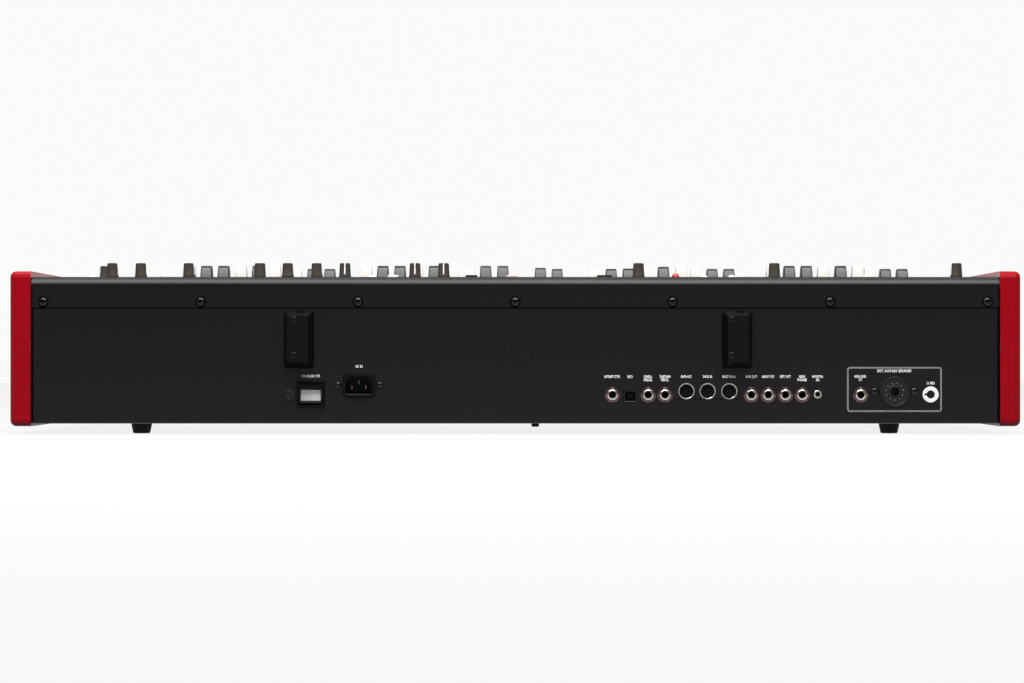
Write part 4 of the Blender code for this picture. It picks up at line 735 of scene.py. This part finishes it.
# Words for what each fitting does: place of the middle of the first line, its width, and the lines
labels = [
    ((0.1971, 0.0560), 0.0174, ("POWER ON / OFF",)),
    ((0.1508, 0.0654), 0.0068, ("AC IN",)),
    ((-0.0935, 0.0555), 0.0154, ("ROTARY CTRL",)),
    ((-0.1106, 0.0555), 0.0056, ("DATA",)),
    ((-0.1280, 0.0555), 0.0082, ("SWELL", "PEDAL")),
    ((-0.1442, 0.0555), 0.0104, ("SUSTAIN", "PEDAL")),
    ((-0.1648, 0.0555), 0.0102, ("DATA OUT",)),
    ((-0.1852, 0.0555), 0.0086, ("DATA IN",)),
    ((-0.2061, 0.0555), 0.0132, ("BASS PEDAL",)),
    ((-0.2273, 0.0555), 0.0110, ("BASS OUT",)),
    ((-0.2436, 0.0555), 0.0120, ("RIGHT OUT",)),
    ((-0.2601, 0.0555), 0.0104, ("LEFT OUT",)),
    ((-0.2763, 0.0555), 0.0090, ("HEAD", "PHONES")),
    ((-0.2912, 0.0555), 0.0104, ("MONITOR", "IN")),
    ((-0.3324, 0.0557), 0.0116, ("HIGH LEVEL", "OUT")),
    ((-0.3652, 0.0610), 0.0330, ("EXT. ROTARY SPEAKER",)),
    ((-0.4002, 0.0491), 0.0074, ("11 PIN",)),
]


def printLine(words, middle, width, height):
    # One line of print as a thin mesh: letters scaled to that width and height, reading from the rear
    curve = bpy.data.curves.new("letters", "FONT")
    curve.body, curve.align_x, curve.resolution_u, curve.offset = words, "CENTER", 2, printed["boldness"]
    source = bpy.data.objects.new("letters", curve)
    bpy.context.scene.collection.objects.link(source)
    flat = source.evaluated_get(bpy.context.evaluated_depsgraph_get()).to_mesh()
    points = np.empty(len(flat.vertices) * 3)
    flat.vertices.foreach_get("co", points)
    points = points.reshape(-1, 3)
    faces = [tuple(face.vertices) for face in flat.polygons]
    bpy.data.objects.remove(source)
    bpy.data.curves.remove(curve)
    low, high = points.min(axis=0), points.max(axis=0)
    x = -(points[:, 0] - (low[0] + high[0]) / 2) * width / (high[0] - low[0])
    z = (points[:, 1] - (low[1] + high[1]) / 2) * height / (high[1] - low[1])
    return onRear(middle[0] + x, printed["thickness"], middle[1] + z), [face[::-1] for face in faces]


def makePrint():
    solids = []
    for middle, width, lines in labels:
        longest = max(len(words) for words in lines)
        for row, words in enumerate(lines):
            place = (middle[0], middle[1] - row * printed["lineStep"])
            solids.append(printLine(words, place, width * len(words) / longest, printed["letterHeight"]))
    makePiece("rearWords", solids, "whitePrintInk", smooth=False)

    wide, high, line, thick = (printed[k] for k in ("boxWidth", "boxHeight", "boxLine", "thickness"))
    corner = printed["boxCorner"]
    wideInside, highInside = wide - 2 * line, high - 2 * line
    box = [(0.0, wide, high, corner), (thick, wide, high, corner),
           (thick, wideInside, highInside, corner / 2), (0.0, wideInside, highInside, corner / 2)]
    makePiece("printedBox", [joinRings(loftOnRear(printed["boxCentre"], box), closeRows=True)],
              "greyPrintInk")

    # The ring's inner edge steps out to a key at the side that faces the player's right
    angle = np.linspace(0, 2 * np.pi, 120, endpoint=False)
    fromKey = np.abs(np.mod(angle + np.pi, 2 * np.pi) - np.pi)
    keyShare = smoothStep(printed["keyHalfAngle"] - fromKey, 0.0, printed["keyEdge"])
    inner = printed["ringInner"] + printed["key"] * keyShare
    outer = np.full_like(angle, printed["ringOuter"])
    radius = np.stack([outer, outer, inner, inner])
    out = np.array([0.0, thick, thick, 0.0])[:, None]
    x, z = printed["ringCentre"]
    ring = onRear(x + radius * np.cos(angle), out, z + radius * np.sin(angle))
    makePiece("printedRing", [joinRings(ring, closeRows=True)], "whitePrintInk")
    print("print made:", len(labels), "labels")


makePrint()


# Controls on the panel

knobs = {
    "places": ((0.4075, 0.082), (0.3931, 0.035), (0.3653, 0.035), (0.3185, 0.035), (0.2492, 0.035),
               (0.2219, 0.035), (0.1936, 0.035), (0.1662, 0.035), (0.0979, 0.035), (0.0699, 0.035),
               (-0.1202, 0.035), (-0.2527, 0.035), (-0.4303, 0.035)),
    "ribs": 18,
    "ribDepth": 0.00016,
    "foot": 0.0008,
    "pointerWidth": 0.0011,
    "pointerRise": 0.00012,
    "pointerRoot": 0.0003,
    # Where each pointer stands: degrees from the rear towards the player's right
    "pointing": (60, -82, -82, -76, 180, -78, -74, 0, 0, 0, 180, -84, 78),
}


def panelHeight(depth):
    # Height of the control panel at that depth from the rear face
    return panel["coverTop"] - (depth - panel["slopeFrom"]) * math.tan(panel["slope"])


def onPanel(place, x, back, up):
    # Points of the control panel at (x, depth): x to the player's right, back towards the rear, up off the
    # panel
    slope = panel["slope"]
    y = panel["rearFace"] - place[1] + back * math.cos(slope) - up * math.sin(slope)
    z = panelHeight(place[1]) + back * math.sin(slope) + up * math.cos(slope)
    return np.stack(np.broadcast_arrays(place[0] + x, y, z), axis=-1)


def makeKnobs():
    # A tapered grip whose ribs fade out below its dished top: radius plus a cosine of the angle. Its
    # profile is (up, radius, share of the ribs). The white pointer is a strip whose route of (out, up) runs
    # over the top and down the side
    for number, place in enumerate(knobs["places"], 1):
        name = f"knob_{number:02d}"
        low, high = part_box(name)
        foot = knobs["foot"]
        top = high[2] - panelHeight(place[1])
        profile = np.array([(foot, 0.00575, 0), (foot + 0.0004, 0.00595, 0), (0.0024, 0.00590, 0),
                            (0.0030, 0.00565, 1), (top - 0.0020, 0.00510, 1), (top - 0.0009, 0.00500, 0.3),
                            (top - 0.0003, 0.00480, 0), (top - 0.0001, 0.00440, 0),
                            (top - 0.0006, 0.00380, 0), (top - 0.0008, 0.0004, 0)])
        up, radius, ribbed = profile.T[:, :, None]
        angle = np.linspace(0, 2 * np.pi, 108, endpoint=False)
        radius = radius + ribbed * knobs["ribDepth"] * (np.cos(knobs["ribs"] * angle) - 0.4)
        grip = onPanel(place, radius * np.sin(angle), radius * np.cos(angle), up)
        piece = makePiece(f"grip_{number:02d}", [joinRings(grip)], "softTouchKnob", name)
        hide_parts(name)
        route = np.array([(0.0014, top - 0.0007), (0.0037, top - 0.0005), (0.0044, top),
                          (0.0049, top - 0.0004), (0.0052, top - 0.0016), (0.0058, 0.0036)])
        half = knobs["pointerWidth"] / 2
        x = np.array([[-half, half, half, -half]])
        rise, root = knobs["pointerRise"], knobs["pointerRoot"]
        push = np.array([[rise, rise, -root, -root]])
        turn = math.radians(knobs["pointing"][number - 1])
        out, up = route[:, :1] + push, route[:, 1:] + push
        across = out * math.sin(turn) + x * math.cos(turn)
        back = out * math.cos(turn) - x * math.sin(turn)
        strip = onPanel(place, across, back, up)
        makePiece(f"pointer_{number:02d}", [joinRings(strip)], "whitePrintInk", name, smooth=False)
    print("knobs made:", len(knobs["places"]))


drawbars = {
    "pitch": 0.01685,
    "inDepth": 0.060,
    "travel": 0.050,
    "middle": -0.0334,
    "sets": {"drawbar_main_left": -0.2866, "drawbar_bass": 0.0, "main_right": -0.1131, "solo_left": 0.1131,
             "solo_right": 0.2866},
    "pulls": {"drawbar_main_left": (1, 1, 0.75, 0, 0, 0, 0, 0, 0), "drawbar_bass": (1, 0.62),
              "main_right": (1, 1, 0.75, 0, 0.3, 0.7, 0.87, 1, 1),
              "solo_left": (0, 0, 0.9, 0.86, 0, 0, 0, 0, 0), "solo_right": (1, 1, 1, 0, 0, 0, 0, 0, 0)},
    # Height off the panel, width and length of the cap
    "levels": ((0.0006, 0.0116, 0.0139), (0.0009, 0.0119, 0.0143), (0.0070, 0.0113, 0.0131),
               (0.0121, 0.0106, 0.0091), (0.0130, 0.0103, 0.0086), (0.01345, 0.0092, 0.0073)),
    "corner": 0.0005,
    # Painted sheen on the rear face of the dark caps: height off the panel, width, and how far back from the
    # cap's middle
    "inlay": ((0.0012, 0.0096, 0.0071), (0.0070, 0.0093, 0.00655), (0.0116, 0.0087, 0.00475)),
    "sheenPatchRise": 0.0001,
}


def capShape(place):
    # Rounded rectangles stacked up the drafts of the cap
    rows = []
    for up, width, length in drawbars["levels"]:
        outline = roundedOutline(width, length, drawbars["corner"], 3)
        rows.append(onPanel(place, outline[:, 0], outline[:, 1], up))
    return joinRings(np.stack(rows))


def sheenPatchShape(place):
    # A thin grey plate of painted sheen that follows the rear face
    rows = []
    for up, width, back in drawbars["inlay"]:
        x = np.array([-width / 2, width / 2, width / 2, -width / 2])
        rows.append(onPanel(place, x, back + np.array([1, 1, -3, -3]) * drawbars["sheenPatchRise"], up))
    return joinRings(np.stack(rows))


def makeDrawbarCaps():
    # The left main set and the bass bars slide, so their caps ride on them. The other bars belong to the
    # frame
    fixed = {}
    for setName, shift in drawbars["sets"].items():
        pulls = drawbars["pulls"][setName]
        first = drawbars["middle"] + shift - drawbars["pitch"] * (len(pulls) - 1) / 2
        for i, pull in enumerate(pulls):
            depth = drawbars["inDepth"] + pull * drawbars["travel"] * math.cos(panel["slope"])
            place = (first + i * drawbars["pitch"], depth)
            colour = drawbarColours[str(i + 1)]
            made = [(colour, capShape(place))]
            # Dark caps get a grey plate of painted sheen on their rear face
            if colour != "whiteAbs":
                made.append(("greyInlayAbs", sheenPatchShape(place)))
            for finish, shape in made:
                if setName.startswith("drawbar"):
                    kind = "Inlay" if finish == "greyInlayAbs" else "Cap"
                    makePiece(f"{setName}_{i + 1}{kind}", [shape], finish, f"{setName}_{i + 1}")
                else:
                    fixed.setdefault(finish, []).append(shape)
    for finish, shapes in fixed.items():
        makePiece("fixed" + finish[0].upper() + finish[1:] + "Caps", shapes, finish)
    print("drawbar caps made")


lamps = {
    "domes": ((0.4127, 0.035), (0.1400, 0.035), (-0.1839, 0.035), (-0.2111, 0.035)),
    "domeRadius": 0.0038, "domeRise": 0.0032,
    "redDome": (-0.1563, 0.035), "redRise": 0.0047,
    "lowCaps": (((0.0428, 0.035), 0.0117, "blackAbs"), ((-0.0870, 0.035), 0.0146, "blackAbs"),
                ((-0.3456, 0.035), 0.0106, "milkyAcrylic")),
    "capLength": 0.0066, "capShoulder": 0.0024, "capTop": 0.0030,
    "collar": 0.0006, "root": 0.00002,
}


def dome(place, radius, rise, columns=32):
    # Rings of a half ellipse on a short collar
    share = np.linspace(0.0, 0.97, 9)
    collar = lamps["collar"]
    up = np.concatenate([[lamps["root"], collar],
                         collar + (rise - collar) * np.sin(share[1:] * np.pi / 2)])[:, None]
    ring = np.concatenate([[radius, radius], radius * np.cos(share[1:] * np.pi / 2)])[:, None]
    angle = np.linspace(0, 2 * np.pi, columns, endpoint=False)
    return joinRings(onPanel(place, ring * np.cos(angle), ring * np.sin(angle), up))


def makeLampsAndCaps():
    domes = [dome(place, lamps["domeRadius"], lamps["domeRise"]) for place in lamps["domes"]]
    makePiece("statusLamps", domes, "milkyAcrylic")
    makePiece("redLamp", [dome(lamps["redDome"], lamps["domeRadius"], lamps["redRise"])], "redLampLens")
    for number, (place, wide, finish) in enumerate(lamps["lowCaps"], 1):
        long, shoulder = lamps["capLength"], lamps["capShoulder"]
        levels = [(lamps["root"], wide, long, 0.0006), (shoulder, wide, long, 0.0006),
                  (lamps["capTop"], wide - 0.0010, 0.0056, 0.0005)]
        rows = []
        for up, width, length, corner in levels:
            outline = roundedOutline(width, length, corner, 4)
            rows.append(onPanel(place, outline[:, 0], outline[:, 1], up))
        makePiece(f"lowCap_{number}", [joinRings(np.stack(rows))], finish)
    print("lamps and low caps made")


makeKnobs()
makeDrawbarCaps()
makeLampsAndCaps()


# Studio: floor, backdrop, world, lamps and the camera of the photograph

studio = {
    "floorHalf": 6.0,
    "paperFibre": 9.0,
    "floorColour": "#4c4c4b",
    "floorLift": 0.85,
    "backdropLevel": 0.96,
    "roomLevel": 0.10,
    "skyLevel": 0.60,
    # Heights and depths of a direction between which the ceiling brightens and the mirrored backdrop begins
    "ceilingRise": (0.15, 0.85),
    "backdropSide": (0.1, -0.3),
    "backdropTop": (0.30, 0.10),
    "overheadBank": {"place": (0.1, 0.92, 1.61), "aim": (0.0, 0.16, 0.1), "size": (2.2, 1.5), "power": 66.0},
    "keyLamp": {"place": (-0.5, 2.2, 2.0), "aim": (0.0, 0.15, 0.1), "size": (1.6, 1.2), "power": 14.0},
    "playerLamp": {"place": (0.0, -0.60, 2.3), "aim": (0.0, -0.1, 0.08), "size": (2.4, 1.0), "power": 9.0},
}
camera = {
    "distance": 2.7,
    "height": 0.0715,
    "millimetresPerPixel": 0.9634,
    "middleColumn": 515.35,
    "horizonRow": 360.0,
    "imageSize": (1024, 683),
}


def seenRay(tree, mirrored=None):
    # 1 for a ray from the camera, one mirrored in metal or one through glass, and 0 for one that only
    # carries light. Where mirrored is given, it says how much of the backdrop a mirrored ray meets
    path = addNode(tree, "ShaderNodeLightPath")
    glossy = path.outputs["Is Glossy Ray"]
    if mirrored is not None:
        glossy = addNode(tree, "ShaderNodeMath", {"operation": "MULTIPLY"},
                         links={0: glossy, 1: mirrored}).outputs[0]
    straight = addNode(tree, "ShaderNodeMath", {"operation": "MAXIMUM"},
                       links={0: path.outputs["Is Camera Ray"], 1: glossy})
    either = addNode(tree, "ShaderNodeMath", {"operation": "MAXIMUM"},
                     links={0: straight.outputs[0], 1: path.outputs["Is Transmission Ray"]})
    return either.outputs[0]


def makeFloor():
    half = studio["floorHalf"]
    mesh = bpy.data.meshes.new("studioFloor")
    mesh.from_pydata([(-half, -half, 0), (half, -half, 0), (half, half, 0), (-half, half, 0)], [],
                     [(0, 1, 2, 3)])
    floor = bpy.data.objects.new("studioFloor", mesh)
    bpy.context.scene.collection.objects.link(floor)
    made = bpy.data.materials.new("studioPaper")  # seamless paper: pale, with a trace of fibre
    made.use_nodes = True
    tree = made.node_tree
    tree.nodes.clear()
    place = addNode(tree, "ShaderNodeTexCoord")
    fibre = addNode(tree, "ShaderNodeTexNoise", values={"Scale": perMetre(studio["paperFibre"])},
                    links={"Vector": place.outputs["Object"]})
    bump = addNode(tree, "ShaderNodeBump", values={"Strength": 0.02}, links={"Height": fibre.outputs["Fac"]})
    paper = addNode(tree, "ShaderNodeBsdfDiffuse", values={"Color": toLinear(studio["floorColour"])},
                    links={"Normal": bump.outputs["Normal"]})
    glow = addNode(tree, "ShaderNodeEmission",
                   values={"Color": (1, 1, 1, 1), "Strength": studio["floorLift"]})
    nothing = addNode(tree, "ShaderNodeEmission", values={"Strength": 0.0})
    lift = addNode(tree, "ShaderNodeMixShader",
                   links={0: seenRay(tree), 1: nothing.outputs[0], 2: glow.outputs[0]})
    both = addNode(tree, "ShaderNodeAddShader", links={0: paper.outputs[0], 1: lift.outputs[0]})
    addNode(tree, "ShaderNodeOutputMaterial", links={"Surface": both.outputs[0]})
    mesh.materials.append(made)


def softRamp(tree, source, edges, levels=(0.0, 1.0)):
    # A smooth change between two levels while the source goes from one edge to the other
    ramp = addNode(tree, "ShaderNodeMapRange", {"interpolation_type": "SMOOTHSTEP"},
                   {"From Min": edges[0], "From Max": edges[1], "To Min": levels[0], "To Max": levels[1]},
                   {"Value": source})
    return ramp.outputs["Result"]


def makeWorld():
    # The white backdrop stands on the player's side: seen straight, through glass, or mirrored low on that
    # side. Other rays find a bright ceiling over a dim room
    world = bpy.data.worlds.new("studioRoom")
    bpy.context.scene.world = world
    world.use_nodes = True
    tree = world.node_tree
    tree.nodes.clear()
    direction = addNode(tree, "ShaderNodeTexCoord")
    split = addNode(tree, "ShaderNodeSeparateXYZ", links={"Vector": direction.outputs["Generated"]})
    ceiling = softRamp(tree, split.outputs["Z"], studio["ceilingRise"],
                       (studio["roomLevel"], studio["skyLevel"]))
    behind = softRamp(tree, split.outputs["Y"], studio["backdropSide"])
    low = softRamp(tree, split.outputs["Z"], studio["backdropTop"])
    backdrop = addNode(tree, "ShaderNodeMath", {"operation": "MULTIPLY"}, links={0: behind, 1: low})
    level = addNode(tree, "ShaderNodeMix", {"data_type": "FLOAT"}, {"B": studio["backdropLevel"]},
                    {"Factor": seenRay(tree, backdrop.outputs[0]), "A": ceiling})
    back = addNode(tree, "ShaderNodeBackground", values={"Color": (1, 1, 1, 1)},
                   links={"Strength": level.outputs[0]})
    addNode(tree, "ShaderNodeOutputWorld", links={"Surface": back.outputs[0]})


def makeLamp(name, lamp):
    light = bpy.data.lights.new(name, "AREA")
    light.shape = "RECTANGLE"
    light.size, light.size_y = lamp["size"]
    light.energy = lamp["power"]
    made = bpy.data.objects.new(name, light)
    bpy.context.scene.collection.objects.link(made)
    place, aim = np.array(lamp["place"]), np.array(lamp["aim"])
    back = (place - aim) / np.linalg.norm(place - aim)
    side = np.cross((0.0, 1.0, 0.0) if abs(back[2]) > 0.9 else (0.0, 0.0, 1.0), back)
    side /= np.linalg.norm(side)
    up = np.cross(back, side)
    turn = np.eye(4)
    turn[:3, 0], turn[:3, 1], turn[:3, 2], turn[:3, 3] = side, up, back, place
    made.matrix_world = Matrix(turn.tolist())


def makeCamera():
    # The lens gives the photograph's millimetres per pixel at the rear panel; the shift centres its horizon
    data = bpy.data.cameras.new("photoCamera")
    made = bpy.data.objects.new("photoCamera", data)
    bpy.context.scene.collection.objects.link(made)
    bpy.context.scene.camera = made
    width, height = camera["imageSize"]
    shown = width * camera["millimetresPerPixel"] / 1000
    data.lens = data.sensor_width * camera["distance"] / shown
    data.shift_x = (width / 2 - camera["middleColumn"]) / width
    data.shift_y = (camera["horizonRow"] - height / 2) / width
    data.clip_end = 100.0
    made.location = (0.0, panel["rearFace"] + camera["distance"], camera["height"])
    made.rotation_euler = (math.radians(90), 0.0, math.radians(180))


makeFloor()
makeWorld()
for lampName in ("overheadBank", "keyLamp", "playerLamp"):
    makeLamp(lampName, studio[lampName])
makeCamera()
bpy.context.scene.view_settings.view_transform = "Standard"
print("studio made")
